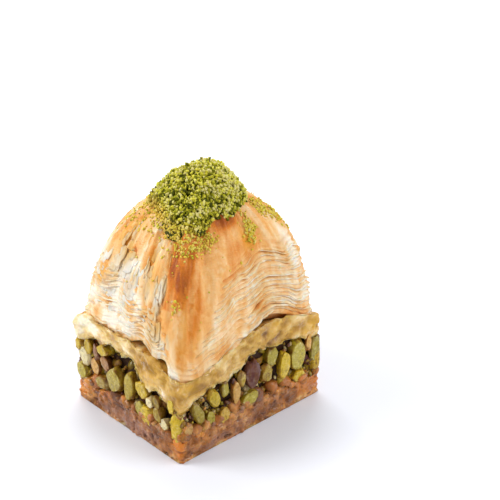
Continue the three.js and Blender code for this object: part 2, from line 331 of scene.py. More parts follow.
# Spots: rim coordinate, height in mm, half width in rim units, half height in mm, strength.
BASE_WARMTH = (  # orange where positive, brown where negative
    (2.03, 3.6, 0.09, 3.0, 1.0), (2.2, 1.5, 0.1, 1.5, 0.4), (2.98, 4.0, 0.06, 4.0, 1.4),
    (3.9, 3.6, 0.13, 2.4, 0.8), (2.25, 5.0, 0.08, 1.2, 0.9), (2.5, 1.6, 0.28, 1.7, -0.8),
    (2.66, 1.2, 0.16, 1.8, -0.6), (3.3, 1.0, 0.3, 1.2, -0.45), (3.68, 5.6, 0.08, 1.4, 0.5),
    (3.45, 3.0, 0.2, 2.0, -0.5), (0.5, 3.0, 0.3, 2.0, 0.4), (1.4, 2.0, 0.3, 2.0, -0.4),
)
BASE_LIGHTNESS = (  # pale where positive, dark where negative
    (2.05, 4.8, 0.08, 1.6, 0.8), (2.13, 2.2, 0.08, 1.6, 0.8), (2.62, 3.6, 0.12, 1.2, 0.5),
    (2.85, 1.5, 0.1, 1.2, 0.3), (2.3, 1.5, 0.12, 1.2, -0.3), (2.95, 5.0, 0.05, 1.2, 0.6),
    (2.5, 4.8, 0.32, 1.6, -0.95), (2.88, 4.8, 0.1, 1.4, -0.6), (3.05, 4.0, 0.2, 1.2, -0.6),
    (3.14, 4.8, 0.06, 1.1, -0.3), (3.66, 3.4, 0.08, 1.2, -0.6), (2.26, 5.0, 0.08, 1.2, -0.9),
    (3.42, 4.6, 0.14, 1.2, 0.1), (3.58, 1.8, 0.2, 1.5, -0.7), (3.74, 2.4, 0.09, 1.8, -0.7),
    (3.92, 3.0, 0.08, 1.6, 0.2), (3.49, 6.4, 0.06, 1.0, 0.9), (3.85, 6.0, 0.1, 1.0, 0.9),
    (3.68, 5.0, 0.06, 1.4, -0.6), (3.97, 2.5, 0.06, 2.0, -0.1), (3.25, 1.0, 0.2, 0.8, -0.3),
)
print(len(BASE_WARMTH), "warm or brown places and", len(BASE_LIGHTNESS), "pale or dark ones")

# %% [markdown]
# Up close the base looks like wet, crumbly wood: lumps, small holes, and a rim that the nuts above
# have pressed into. The rings of its sphere lie close together on the upright edge, where that
# detail is. A displacement modifier could roughen it as well, but arrays also give the finish the
# same lumps and holes to colour.

# %% Base
BASE_AROUND, BASE_RINGS = 800, 80
BASE_TOP_SHARE, BASE_FOOT_SHARE = 0.16, 0.86  # where the rings leave the top and reach the underside
BASE_LEAF = 0.9  # spacing of what is left of the leaf lines
BASE_ROUNDING = 0.9  # of the upper edge, in mm
HOLE_DEPTH = 0.35
RAGGED_FOOT = ((0.5, (1.7, 1.7, 5), 22), (0.3, (0.7, 0.7, 2), 23))
TOP_WAVES = ((0.7, (3.2, 3.2, 9), 5), (0.3, (1.1, 1.1, 9), 6))
FOOT_WAVES = ((0.35, (2.2, 2.2, 9), 7), (0.2, (0.7, 0.7, 9), 8))
BASE_LUMPS = ((0.34, (2.4, 2.4, 1.7), 2), (0.2, (0.95, 0.95, 0.8), 3), (0.1, (0.45, 0.45, 0.4), 4),
              (0.16, (1.1, 1.1, 4.0), 21))

bm, c, share = sphere_grid(BASE_AROUND, BASE_RINGS)
down, edge = along_edge(share, BASE_TOP_SHARE, BASE_FOOT_SHARE)
reach = np.minimum(ease(share / BASE_TOP_SHARE, 0, 1), ease((1 - share) / (1 - BASE_FOOT_SHARE), 0, 1))
reach[edge] = 1
rounding = BASE_ROUNDING * edge_rounding(down, 7) * blend(1, 0.35, ease(down, 0.6, 1))
points = point_at(c, reach, BASE_HEIGHT * (1 - down), CUT_SQUARENESS, -rounding * edge)
ragged = mottles(points, RAGGED_FOOT) * ease(down, 0.7, 1)
points = point_at(c, reach, points[:, 2], CUT_SQUARENESS, (ragged - rounding) * edge)
top_wave = bulges_at(c, TOP_DIPS) + mottles(points, TOP_WAVES)
foot_wave = bulges_at(c, FOOT_LIFTS) + np.maximum(0, mottles(points, FOOT_WAVES))
points[:, 2] += top_wave * ease(down, 0.65, 0) * ease(reach, 0.5, 1)
points[:, 2] += foot_wave * ease(down, 0.75, 1) * edge
leaf = points[:, 2] / BASE_LEAF + 1.2 * mottle(points, (6, 6, 2.5), 1)
holes = ease(mottle(points, (1.2, 1.2, 0.8), 9), 0.35, 0.75)
relief = mottles(points, BASE_LUMPS) + 0.03 * np.sin(2 * np.pi * leaf) - HOLE_DEPTH * holes
base = to_object(bm, "soaked_base", points)
raise_surface(base, relief * ease(reach, 0.8, 1) * ease(down, 1, 0.95))
height = points[:, 2]
# Lighter towards the foot: painted light against the contact shadow there.
light = 0.2 + 0.5 * ease(height, 1.6, 0.2) + spots(c, height, BASE_LIGHTNESS)
paint(base, "leaf", leaf)
paint(base, "warm", spots(c, height, BASE_WARMTH) + 0.35 * mottle(points, (2.6, 2.6, 1.6), 10))
# Painted shade inside the small holes and the sunk places of the relief:
paint(base, "hole_shade", holes + ease(relief, -0.15, -0.5))
# Sunk places of the relief are painted darker and raised ones lighter, as shade and light fall:
paint(base, "light", light + 0.5 * mottle(points, (2.0, 2.0, 1.3), 20) + 0.8 * relief)
settle(base, "base_pastry")

# %% [markdown]
# ## The soaked leaves over the filling
# These leaves lie on the nuts, so they follow them: low at the corners and arched over each face.
# Their lower rim sags between the nuts, most of all at the front corner, and their cut edge is pale,
# golden or brown by turns, with painted shade in the folds and under the dome's lip hollows. As with
# the base, soft spots give these places.

# %% Places on the soaked leaves
# Sags of the lower rim and rises of the upper one: rim coordinate, half width in rim units, mm.
SOAKED_SAGS = (  # what hangs down between the nuts
    (3.0, 0.09, -1.6), (2.86, 0.08, -0.9), (2.67, 0.11, -1.3), (2.12, 0.08, -0.5), (2.27, 0.09, -1.2),
    (2.43, 0.09, -0.7), (2.7, 0.1, -1.9), (3.28, 0.08, -0.9), (3.47, 0.07, -0.9), (3.66, 0.17, -1.3),
    (3.87, 0.08, -0.5),
)
SOAKED_RISES = (  # where the upper rim stands higher
    (2.03, 0.2, 1.5), (3.9, 0.18, 1.3), (3.7, 0.16, 0.8), (3.5, 0.14, 0.6), (3.2, 0.26, 0.9),
    (2.95, 0.1, 0.4), (2.6, 0.16, 0.4), (2.3, 0.12, 0.4),
)
# Spots: rim coordinate, height in mm, half width in rim units, half height in mm, strength.
SOAKED_BULGES = ((2.02, 17.5, 0.06, 3.0, 0.9), (2.74, 17.5, 0.1, 2.5, 0.6), (3.2, 16.5, 0.1, 2.0, 0.35))
SOAKED_TONE_AND_SHADE = (  # paler where positive, browner where negative
    # (2.57, 22.3) and (2.84, 20.4) are painted shade under the dome's lip hollows.
    (2.04, 18.5, 0.13, 3.0, 0.38), (2.25, 19.0, 0.1, 1.8, 0.15), (2.57, 22.3, 0.08, 1.0, -0.3),
    (2.5, 17.0, 0.12, 1.5, 0.15), (2.84, 20.4, 0.05, 1.0, -0.35), (2.84, 15.5, 0.07, 1.8, 0.2),
    (2.98, 14.6, 0.06, 1.6, -0.3), (3.07, 15.1, 0.06, 1.0, -0.4), (3.16, 15.4, 0.07, 1.2, -0.3),
    # (3.52, 21.9) is painted shade under the dome's lip hollow.
    (3.52, 21.9, 0.07, 1.0, -0.35), (2.76, 18.0, 0.1, 2.4, -0.45), (2.15, 19.3, 0.06, 1.3, 0.45),
    (3.26, 18.0, 0.06, 1.3, 0.15), (3.64, 18.6, 0.16, 1.6, -0.3), (3.4, 17.0, 0.08, 1.2, -0.15),
    (2.62, 17.5, 0.1, 2.0, -0.15), (2.5, 19.3, 0.1, 1.3, 0.25), (2.24, 16.8, 0.07, 0.9, -0.4),
    # (3.55, 20.5) is painted shade under the dome's lip hollow.
    (2.7, 18.5, 0.06, 1.2, -0.3), (2.58, 16.5, 0.05, 1.0, -0.45), (3.55, 20.5, 0.09, 1.4, -0.25),
    (3.15, 17.0, 0.08, 1.0, -0.2), (3.9, 17.5, 0.1, 2.0, -0.2),
)
SOAKED_GOLD = (  # yellower where positive
    (3.93, 17.0, 0.08, 3.0, 0.9), (3.08, 15.5, 0.1, 2.5, 0.6), (2.98, 13.0, 0.08, 2.5, 0.5),
    (2.6, 16.5, 0.1, 2.0, 0.3), (2.74, 17.0, 0.12, 3.5, 0.8), (3.66, 22.0, 0.16, 1.5, 0.5),
    (2.1, 18.5, 0.15, 2.5, -0.5), (2.05, 15.0, 0.1, 1.2, 0.8),
)
print(len(SOAKED_SAGS), "sags,", len(SOAKED_TONE_AND_SHADE), "pale or brown places,", len(SOAKED_GOLD), "golden ones")

# %% [markdown]
# The cut edge of these leaves stands out past the dome. It is soft and wet, folded and torn more
# than layered. The sphere's rings pass over the upper rim, down the edge and under it again, and
# blunt waves along the leaf lines stand for the few leaves that can still be told apart.

# %% Soaked leaves
SOAKED_AROUND, SOAKED_RINGS = 800, 92
SOAKED_TOP_SHARE, SOAKED_FOOT_SHARE = 0.22, 0.78  # where the rings pass over the upper and the lower rim
SOAKED_SQUARENESS = 28
SOAKED_LEAF = 0.95  # spacing of the leaf lines
MEAN_TONE = 0.54  # between brown at 0 and cream at 1
SAG_WAVES = ((0.6, (2.2, 2.2, 30), 11), (0.45, (0.9, 0.9, 30), 12))
LEAF_BENDS = ((1.1, (4.5, 4.5, 3), 13), (0.5, (1.6, 1.6, 1.4), 16))
SOAKED_FOLDS = ((0.45, (4.5, 4.5, 3), 14), (0.34, (1.5, 1.5, 1.1), 15), (0.16, (0.6, 0.6, 0.5), 18))

bm, c, share = sphere_grid(SOAKED_AROUND, SOAKED_RINGS)
down, edge = along_edge(share, SOAKED_TOP_SHARE, SOAKED_FOOT_SHARE)
reach = np.minimum(share / SOAKED_TOP_SHARE, (1 - share) / (1 - SOAKED_FOOT_SHARE))
reach = np.where(edge, 1, np.clip(reach, 0, 1) ** 0.7)
z = blend(soaked_top(c, reach), soaked_underside(c, reach), down)
rounding = blend(0.4, 0.9, down) * edge_rounding(down, 4)
points = point_at(c, reach, z, SOAKED_SQUARENESS, -rounding * edge)
sag = bulges_at(c, SOAKED_SAGS) + mottles(points, SAG_WAVES)
points[:, 2] += sag * ease(down, 0.4, 1) * ease(reach, 0.7, 1)
points[:, 2] += bulges_at(c, SOAKED_RISES) * ease(down, 0.5, 0) * ease(reach, 0.85, 1)
leaf = (soaked_top(c, reach) - z) / SOAKED_LEAF + mottles(points, LEAF_BENDS)
waves = np.abs(np.sin(np.pi * leaf)) ** 0.7 * (0.7 + 0.6 * mottle(points, (2.4, 2.4, 1.5), 17))
relief = 0.13 * waves + mottles(points, SOAKED_FOLDS) - 0.15 + spots(c, points[:, 2], SOAKED_BULGES)
soaked = to_object(bm, "soaked_leaves", points)
raise_surface(soaked, relief * ease(reach, 0.75, 0.98))
tone_and_shade = MEAN_TONE + spots(c, points[:, 2], SOAKED_TONE_AND_SHADE) + 0.24 * mottle(points, (1.9, 1.9, 1.3), 19)
paint(soaked, "leaf", leaf)
# Sunk places of the relief are painted browner, as shade in the folds.
paint(soaked, "tone_and_shade", tone_and_shade + 0.3 * np.clip(relief, -0.6, 0.3))
paint(soaked, "gold", spots(c, points[:, 2], SOAKED_GOLD) + 0.35 * mottle(points, (2.6, 2.6, 1.8), 24))
settle(soaked, "soaked_layer")

# %% [markdown]
# ## The flaky dome
# In the oven the upper leaves puff up and dry. Over the crown they stay one browned, wrinkled skin.
# Lower down the knife has opened them, so their edges lie over each other like shingles, each with
# a thin dark gap under it. The profile below is the solid's: the reach of the dome at each height.

# %% Profile of the dome
DOME_FOOT, DOME_TOP = 18.5, 48.5
DOME_REACH = 0.965  # share of the outline that its foot takes up
DOME_RISE, DOME_ROUND = 2.4, 2.2  # powers that bend the profile, upright and sideways
FOOT_SQUARENESS, TOP_SQUARENESS = 10, 3
LEAN = np.array([1.7, 0.7])  # how far the top leans over, in mm
LAYER_GAP = 0.3  # between the soaked leaves and what lies on them
LIP_REACH = 0.8  # share of the way out at which the dome meets the soaked leaves under its lip
# Hollows under the lip: rim coordinate, half width in rim units, height in mm.
LIP_HOLLOWS = ((0.3, 0.16, 2.0), (0.75, 0.1, 1.4), (1.25, 0.12, 1.6), (1.62, 0.18, 2.3),
               (2.64, 0.1, 2.0), (2.36, 0.18, -0.9), (2.86, 0.08, 1.6), (3.67, 0.2, 2.0))


def height_share(z):
    return np.clip((z - DOME_FOOT) / (DOME_TOP - DOME_FOOT), 0, 1)


def dome_reach(z):
    return DOME_REACH * (1 - height_share(z) ** DOME_RISE) ** (1 / DOME_ROUND)


def dome_height_at(reach):
    share = (1 - (reach / DOME_REACH) ** DOME_ROUND) ** (1 / DOME_RISE)
    return blend(DOME_FOOT, DOME_TOP, share)


def dome_point(c, z, outward=0.0):
    share = height_share(z)
    squareness = blend(FOOT_SQUARENESS, TOP_SQUARENESS, share**0.7)
    p = point_at(c, dome_reach(z), z, squareness, outward)
    p[..., :2] += LEAN * np.sqrt(share)[..., None]
    return p


def lip_height(c):
    """Height of the dome's lower edge: on the soaked leaves, but for the hollows."""
    return soaked_top(c, 1) + LAYER_GAP + bulges_at(c, LIP_HOLLOWS)


highest = float(lip_height(np.linspace(0, SIDES, 400, endpoint=False)).max())
print("the dome's lower edge is highest at", round(highest, 1), "mm")

# %% [markdown]
# The skin of the dome is wrinkled: ridges, folds and furrows run down it, as the leaves shrank
# sideways. Lower down the knife opened it, high up at the side corners and hardly at all at the
# near one. Mottle on a round dome would smear its streaks, so it is worked out on the dome's surface
# opened out into a tube, where straight down is one direction.

# %% Skin of the dome
SWELL = 0.45  # broad unevenness in mm
TUBE_RADIUS = 15  # of the tube that the dome is opened out into
OPEN_HEIGHT, OPEN_FADE = 35.0, 2.0  # how high the knife opened the leaves, and how softly that ends
SKIN_RIDGES = ((0.24, (2.6, 2.6, 26), 33), (0.16, (1.2, 1.2, 11), 26), (0.07, (0.5, 0.5, 5), 27))
# Spots where the lowest leaf curls out: rim coordinate, height, half widths, mm.
LIP_ROLLS = ((2.35, 22.6, 0.2, 1.4, 0.7), (2.92, 18.8, 0.06, 2.2, 1.1))
# Where the lip spreads on the soaked leaves, where the opened zone ends higher or lower, and the
# ridges and furrows that run down the skin: rim coordinate, half width in rim units, mm.
LIP_FLARES = ((3.2, 0.35, 0.7), (0.4, 0.3, 0.4))
OPEN_TOPS = ((3.72, 0.45, 4.5), (3.0, 0.3, -14.0), (2.65, 0.25, -5.0), (1.0, 0.6, -7.0))
FOLDS = (
    (2.97, 0.09, 0.5), (2.8, 0.05, -0.45), (3.17, 0.05, -0.4), (3.36, 0.09, 0.4), (3.55, 0.04, -0.35),
    (2.63, 0.04, -0.35), (2.7, 0.03, 0.3), (2.35, 0.04, -0.3), (2.16, 0.05, 0.3), (3.75, 0.06, 0.3),
    (0.3, 0.06, 0.4), (0.45, 0.04, -0.4), (0.8, 0.06, 0.4), (1.0, 0.05, -0.4), (1.4, 0.06, 0.4),
    (1.65, 0.04, -0.35),
)


def unrolled(c, z):
    """The dome's surface opened out into a tube, so that wrinkles can run straight down it."""
    turn = np.asarray(c) * np.pi / 2
    x, y = TUBE_RADIUS * np.cos(turn), TUBE_RADIUS * np.sin(turn)
    return np.stack(np.broadcast_arrays(x, y, z), axis=-1)


def near(c, at, half):
    """1 at one place on the rim, falling softly to 0 on both sides of it."""
    return np.exp(-((rim_distance(c, at) / half) ** 2))


def opened(c, z):
    """1 where the knife opened the leaves, 0 where they are one skin."""
    top = OPEN_HEIGHT + 1.3 * mottle(unrolled(c, z), (5, 5, 60), 21) + bulges_at(c, OPEN_TOPS)
    return 1 - ease(z, top - OPEN_FADE, top + OPEN_FADE)


def swell(c, z):
    """The broad unevenness of the dome, in mm, which all its leaves share."""
    flare = bulges_at(c, LIP_FLARES) * np.exp(-((z - lip_height(c)) / 0.9) ** 2)
    return SWELL * mottle(unrolled(c, z), (6, 6, 9), 30) + spots(c, z, LIP_ROLLS) + flare


def wrinkles(c, z):
    """Height in mm of the ridges, folds and furrows that run down the skin."""
    q = unrolled(c, z)
    ridges = sum(height * (1 - 2 * np.abs(mottle(q, size, seed))) for height, size, seed in SKIN_RIDGES)
    return ridges + bulges_at(c, FOLDS)


ends = OPEN_HEIGHT + bulges_at(np.array([3.0, 3.72]), OPEN_TOPS)
print("the opened leaves reach up to", ends[0], "mm at the near corner and", ends[1], "mm on the front face")

# %% [markdown]
# In the opened zone the leaf edges lie over each other like shingles. Their lines follow the arched
# lip and lie flatter further up, and mottle makes them wander and merge. Evenly cut steps would look
# like stairs, so each shingle has a blunt edge and then falls off slowly. Blistered flakes of skin
# stand a little proud of the leaf below.

# %% Shingles of the dome
LEAF_PITCH = 1.15  # height of one shingle
LIP_MEAN = 19.8  # mean height of the lip
# Where the leaves are fine, where they are broad and where they flake: rim coordinate, half width.
FINE_LEAVES, BROAD_LEAVES, FLAKY_LEFT, FLAKY_BACK = (2.35, 0.4), (3.7, 0.45), (2.45, 0.42), (0.9, 0.6)
MEAN_STEP = 0.42  # of a shingle, in mm
FLAKE_STEP = 0.16  # of a blistered flake, in mm
LEAF_WANDER = ((1.0, (4.5, 4.5, 10), 22), (0.7, (2.1, 2.1, 5), 23))
GAP_DEPTHS = ((0.36, (3.4, 3.4, 2.2), 24), (0.2, (1.1, 1.1, 0.8), 32))
SKIN_PATCHES = ((1, (1.8, 1.8, 5.5), 28), (0.55, (0.8, 0.8, 1.9), 29), (0.25, 0.5, 34))


def leaf_phase(c, z):
    """How many shingles a point lies above the lip."""
    arch = (lip_height(c) - LIP_MEAN) * (1 - 0.8 * ease(z, 20, 38))
    return (z - LIP_MEAN - arch) / LEAF_PITCH + mottles(unrolled(c, z), LEAF_WANDER)


def shingle(phase):
    """Outward step of one shingle: a blunt lower edge, then a slow fall towards the next one."""
    part = phase - np.floor(phase)
    return ease(part, 0.0, 0.25) * (1 - part) ** 0.6


def shingles(c, z, leaves):
    """Relief of the opened leaves in mm, at three sizes, and how much painted shade the gaps between them
    get.
    """
    q = unrolled(c, z)
    depth = MEAN_STEP - 0.16 * near(c, *FINE_LEAVES) + mottles(q, GAP_DEPTHS)
    main = shingle(leaves)
    minor = shingle(leaves * 2.3 + 0.5 * mottle(q, (3, 3, 2), 25))
    broad = shingle(leaves / 2 + 0.4 * mottle(q, (4, 4, 3), 35))
    broad_share = near(c, *BROAD_LEAVES) + 0.4
    relief = 0.4 * broad_share * (broad - 0.6) + np.maximum(depth, 0.08) * (main - 0.75)
    gaps = (1 - main) * np.clip(depth * 1.6, 0.3, 1) + 0.6 * broad_share * (1 - broad)
    return relief + 0.17 * (minor - 0.5), gaps


def dome_relief(c, z):
    """Height of the relief in mm, the shingle phase, how bare of pale flakes it is, and the painted shade of
    its gaps.
    """
    q = unrolled(c, z)
    leaves, low = leaf_phase(c, z), opened(c, z)
    shingled, gaps = shingles(c, z, leaves)
    crown = 1 - ease(height_share(z), 0.93, 1)
    skinned = crown * wrinkles(c, z) * blend(0.25, 1, 1 - low)
    flaky = 0.35 + 0.65 * near(c, *FLAKY_LEFT) + 0.3 * near(c, *FLAKY_BACK)
    skin = ease(mottles(q, SKIN_PATCHES), -0.04, 0.2)
    relief = low * shingled + skinned + FLAKE_STEP * skin * flaky * crown
    relief += swell(c, z) + 0.09 * mottle(q, (0.8, 0.8, 0.6), 31)
    return relief, leaves, (0.5 - skin) * flaky, low * gaps


shingle_count = float(leaf_phase(np.array(3.8), np.array(34.0)))
print("shingles between the lip and the skin on the front face:", round(shingle_count))

# %% [markdown]
# Baking leaves its colour in places: dark on the ridge, in streaks down both faces, and pale where
# flakes lift off. A few spots are painted shade instead, below the heap's edge and in a hollow under
# the lip, and a few pale ones are painted highlight on the lit lip. Each place is a soft spot on the
# rim coordinate and the height, with a strength that is negative for the pale ones. Streaks of mottle
# break the spots up, so none looks painted.

# %% Toasted places
# Spots: rim coordinate, height in mm, half width in rim units, half height in mm, strength.
TOASTED_AND_SHADED = (  # browner
    (2.88, 39.0, 0.055, 4.0, 0.5), (2.96, 36.0, 0.06, 4.0, 0.7), (3.03, 37.0, 0.05, 3.0, 0.35),
    (3.12, 33.0, 0.045, 4.5, 0.3), (3.07, 28.0, 0.05, 4.5, 0.5), (3.0, 22.5, 0.05, 3.5, 0.4),
    (2.93, 27.0, 0.05, 4.0, 0.2), (3.06, 40.5, 0.07, 2.5, 0.35), (2.84, 29.5, 0.06, 5.0, 0.32),
    (2.72, 28.9, 0.04, 3.0, 0.22), (2.62, 39.0, 0.03, 1.8, 0.6), (2.43, 37.3, 0.03, 3.0, 0.4),
    (2.31, 38.6, 0.035, 3.2, 0.38), (2.14, 40.0, 0.06, 3.0, 0.45), (2.37, 38.0, 0.035, 3.0, 0.25),
    (2.64, 35.0, 0.04, 3.0, 0.3), (2.775, 27.0, 0.045, 2.6, 0.4), (3.58, 40.5, 0.05, 2.0, 0.4),
    # (3.42, 44.7) is painted shadow below the heap's edge, (2.75, 18.8) painted shade in the hollow under the
    # lip.
    (3.42, 44.7, 0.13, 1.4, 0.9), (3.77, 22.4, 0.06, 0.8, 0.3), (2.75, 18.8, 0.06, 1.0, 0.5),
    (2.22, 23.2, 0.07, 1.1, 0.6), (2.45, 38.4, 0.05, 1.3, 0.3), (3.54, 26.8, 0.06, 1.8, 0.3),
    (2.82, 38.1, 0.05, 1.8, 0.4), (2.75, 36.8, 0.04, 1.5, 0.25), (3.48, 39.6, 0.06, 1.3, 0.3),
    (3.18, 21.5, 0.08, 2.0, 0.15), (2.07, 29.4, 0.05, 1.6, 0.25), (2.28, 32.2, 0.06, 1.6, 0.28),
    (2.5, 34.7, 0.03, 2.2, 0.3), (2.64, 31.0, 0.03, 4.0, 0.3), (3.4, 38.5, 0.08, 4.5, 0.2),
    (3.6, 39.5, 0.06, 3.0, 0.2), (3.8, 33.8, 0.06, 1.6, 0.2), (3.6, 29.5, 0.12, 1.4, 0.1),
    # (2.9, 42.5) and (3.2, 43.5) are painted shade along the heap's lower edge.
    (2.9, 42.5, 0.14, 2.5, 0.2), (3.2, 43.5, 0.16, 2.0, 0.25), (0.5, 38, 0.3, 7, 0.3),
    (1.0, 34, 0.14, 8, 0.5), (1.5, 39, 0.25, 6, 0.3), (0.05, 36, 0.08, 7, 0.25), (1.25, 31, 0.05, 6, 0.35),
    (0.7, 34, 0.05, 7, 0.4), (1.8, 36, 0.06, 6, 0.35),
)
PALE_AND_HIGHLIT_PLACES = (  # paler, so the strength is negative
    (2.38, 26.5, 0.2, 3.0, -0.28), (2.48, 36.0, 0.06, 2.2, -0.5), (2.39, 33.6, 0.06, 2.4, -0.45),
    # (2.32, 23.3) and (2.5, 24.0) are partly painted highlight on the left face's lip roll; (2.925, 18.6) is
    # a painted highlight on the lobe at the near corner's lip.
    (2.32, 23.3, 0.14, 1.3, -0.5), (2.5, 24.0, 0.14, 1.4, -0.5), (2.925, 18.6, 0.055, 2.0, -0.75),
    # (2.56, 22.9) is partly painted highlight on the left face's lip roll as well.
    (2.25, 30.0, 0.07, 2.0, -0.6), (2.56, 22.9, 0.06, 1.0, -0.35), (2.8, 35.5, 0.035, 3.5, -0.3),
    (3.54, 32.8, 0.05, 2.4, -0.22), (3.74, 32.0, 0.05, 2.2, -0.2), (3.2, 23.5, 0.09, 1.6, -0.1),
    (3.33, 36.5, 0.035, 5.0, -0.12), (3.45, 25.0, 0.12, 1.6, -0.12), (2.62, 27.5, 0.1, 2.4, -0.33),
    (3.42, 30.0, 0.06, 4.0, -0.2), (3.65, 29.0, 0.3, 6.0, -0.06), (3.97, 28.0, 0.1, 8.0, -0.15),
    (2.5, 21.8, 0.1, 1.2, -0.35), (3.92, 37.5, 0.11, 5.0, -0.35), (3.7, 36.0, 0.1, 3.0, -0.25),
    (2.1, 34.0, 0.1, 8.0, -0.22), (2.68, 24.5, 0.06, 1.5, -0.2), (2.12, 44.0, 0.09, 1.8, -0.6),
    (2.6, 42.0, 0.05, 1.5, -0.35), (2.56, 39.8, 0.04, 1.5, -0.25), (2.82, 22.0, 0.05, 2.0, -0.35),
    (3.05, 19.0, 0.06, 1.2, -0.3), (3.74, 25.8, 0.06, 1.3, -0.35), (3.75, 29.0, 0.06, 1.6, -0.25),
    (3.46, 22.0, 0.06, 1.2, -0.35), (3.82, 25.2, 0.06, 1.5, -0.35), (3.93, 24.5, 0.06, 2.0, -0.3),
    (2.12, 25.5, 0.08, 2.0, -0.4), (3.9, 33.0, 0.1, 5.0, -0.16), (3.94, 25.5, 0.08, 3.0, -0.12),
    (2.14, 27.5, 0.05, 2.0, -0.3), (0.3, 24, 0.2, 2, -0.3), (1.6, 25, 0.2, 2, -0.3),
    (1.0, 21, 0.1, 2, -0.2),
)
MEAN_TOAST, CROWN_TOAST = 0.16, 0.15  # the crown is browner by the second
STREAKS = ((0.17, (0.9, 0.9, 7), 41), (0.1, (0.4, 0.4, 2.5), 42), (0.06, (4, 4, 6), 43))


def toasting(c, z):
    """How browned the dome is, plus painted shade and highlight in spots: 0 pale, 1 brown, below 0 where a
    flake is nearly white.
    """
    amount = MEAN_TOAST + CROWN_TOAST * ease(z, 30, 42) + spots(c, z, TOASTED_AND_SHADED + PALE_AND_HIGHLIT_PLACES)
    return amount + mottles(unrolled(c, z), STREAKS)


print(len(TOASTED_AND_SHADED), "toasted places and", len(PALE_AND_HIGHLIT_PLACES), "pale ones")

# %% [markdown]
# Butter and syrup add two more things to the browning: some places turn yellow, mostly on the left
# face, and a few shine. They are spots again, since both end as softly as the browning does.

# %% Yellow and glossy places
# Spots: rim coordinate, height in mm, half width in rim units, half height in mm, strength.
OCHRE_PLACES = (  # yellower
    (2.29, 39.0, 0.1, 4.5, 1.5), (2.18, 31.0, 0.07, 2.0, 1.5), (2.42, 31.5, 0.06, 1.8, 1.0),
    (2.6, 24.0, 0.08, 3.0, 0.5), (2.05, 40.0, 0.1, 4.0, 0.2), (2.75, 26.0, 0.08, 3.0, 0.8),
    (2.66, 37.0, 0.1, 5.0, 0.7), (3.58, 40.5, 0.06, 2.0, 1.2), (2.3, 46.5, 0.12, 1.5, 0.9),
    (2.5, 41.0, 0.08, 2.5, 0.5), (2.1, 24.5, 0.08, 1.5, 0.4), (3.0, 26.0, 0.12, 6.0, 0.4),
    (3.8, 40.0, 0.2, 2.5, 0.3), (3.98, 40.5, 0.06, 1.5, 0.8), (1.0, 36.0, 0.2, 4.0, 0.5),
)
GLOSSY_PLACES = (  # where butter shines
    (2.4, 23.6, 0.2, 1.5, 0.9), (2.91, 19.2, 0.05, 1.8, 0.8), (2.45, 36.0, 0.1, 4.0, 0.4),
    (2.93, 30, 0.06, 6.0, 0.3),
)


def ochre_at(c, z):
    """How yellow the browning is."""
    q = unrolled(c, z)
    broken = 0.8 + 0.9 * mottle(q, (1.2, 1.2, 5), 44)
    return spots(c, z, OCHRE_PLACES) * broken + 0.2 * mottle(q, (0.7, 0.7, 2), 45)


def paint_dough(piece, **values):
    """Stores what the dry dough finish reads: leaf, toast, gap, gloss and ochre."""
    for name, numbers in values.items():
        paint(piece, name, np.broadcast_to(numbers, len(piece.data.vertices)))


print(len(OCHRE_PLACES), "yellow places and", len(GLOSSY_PLACES), "glossy ones")

# %% [markdown]
# Now the dome itself can be made. Its sphere's rings run down the profile at even steps, turn in
# under the lip and close over the soaked leaves, a hair's breadth above them. Rings that the heap
# of pistachio hides are set further apart. The relief is then raised on it, and the browning with its
# painted shade and highlights, the painted shade of the gaps and of the lip's underside, the gloss and
# the yellow tinge are stored for the finish.

# %% Dome
DOME_AROUND, DOME_RINGS = 480, 208
DOME_LIP_SHARE = 0.92  # share at which the rings turn in under the lip
LIP_TURN = 0.15  # share of the underside over which they turn
# Deep gaps are painted browner as shade; bare leaf is browner in its own colour.
BARE_TOAST, GAP_SHADE_TOAST = 0.42, 0.16  # bare leaf and deep gaps are browner than flakes
PROFILE_END = 16  # height in mm to which the profile is followed
HEAP_HIDES = (40, 45)  # heights between which the rings get wider apart

bm, c, share = sphere_grid(DOME_AROUND, DOME_RINGS)
profile_z = np.linspace(DOME_TOP, PROFILE_END, 400)
profile_step = np.hypot(np.gradient(dome_reach(profile_z)) * FRONT_WIDTH / 2, np.gradient(profile_z))
profile_step *= blend(1.0, 0.45, ease(profile_z, *HEAP_HIDES))
profile_run = np.cumsum(profile_step) - profile_step[0]
down = np.interp(np.clip(share / DOME_LIP_SHARE, 0, 1), profile_run / profile_run[-1], profile_z)
down = (DOME_TOP - down) / (DOME_TOP - PROFILE_END)
lip = lip_height(c)
z = blend(DOME_TOP, lip, down)
under = np.clip((share - DOME_LIP_SHARE) / (1 - DOME_LIP_SHARE), 0, 1)
reach = np.interp(under, (0, LIP_TURN, 0.45, 1), (DOME_REACH, 0.9, LIP_REACH, 0))
floor_z = soaked_top(c, reach) + LAYER_GAP
floor_z += (lip - soaked_top(c, 1) - LAYER_GAP) * ease(reach, LIP_REACH, DOME_REACH)
below = point_at(c, reach, floor_z, FOOT_SQUARENESS)
points = np.where((under > 0)[:, None], below, dome_point(c, z))
relief, leaves, bare, gaps = dome_relief(c, z)
dome = to_object(bm, "flaky_dome_leaves", points)
raise_surface(dome, relief * (1 - ease(under, 0, LIP_TURN)) * ease(share, 0, 0.03))
# Deep gaps and the underside of the lip get painted shade, both browner and darker.
paint_dough(dome, leaf=leaves, toast=toasting(c, z) + BARE_TOAST * bare + GAP_SHADE_TOAST * gaps,
            gap=gaps + 1.2 * ease(under, 0, 0.1), gloss=spots(c, z, GLOSSY_PLACES), ochre=ochre_at(c, z))
settle(dome, "flaky_dome")

# %% [markdown]
# ## Many copies of a small shape
# Thin leaves, kernels and grains all come in numbers. Each kind starts as one small shape made by
# bmesh, whose vertices and faces are read once. The copies are then worked out as arrays and joined
# in one mesh, which is far quicker than an object for each of them.

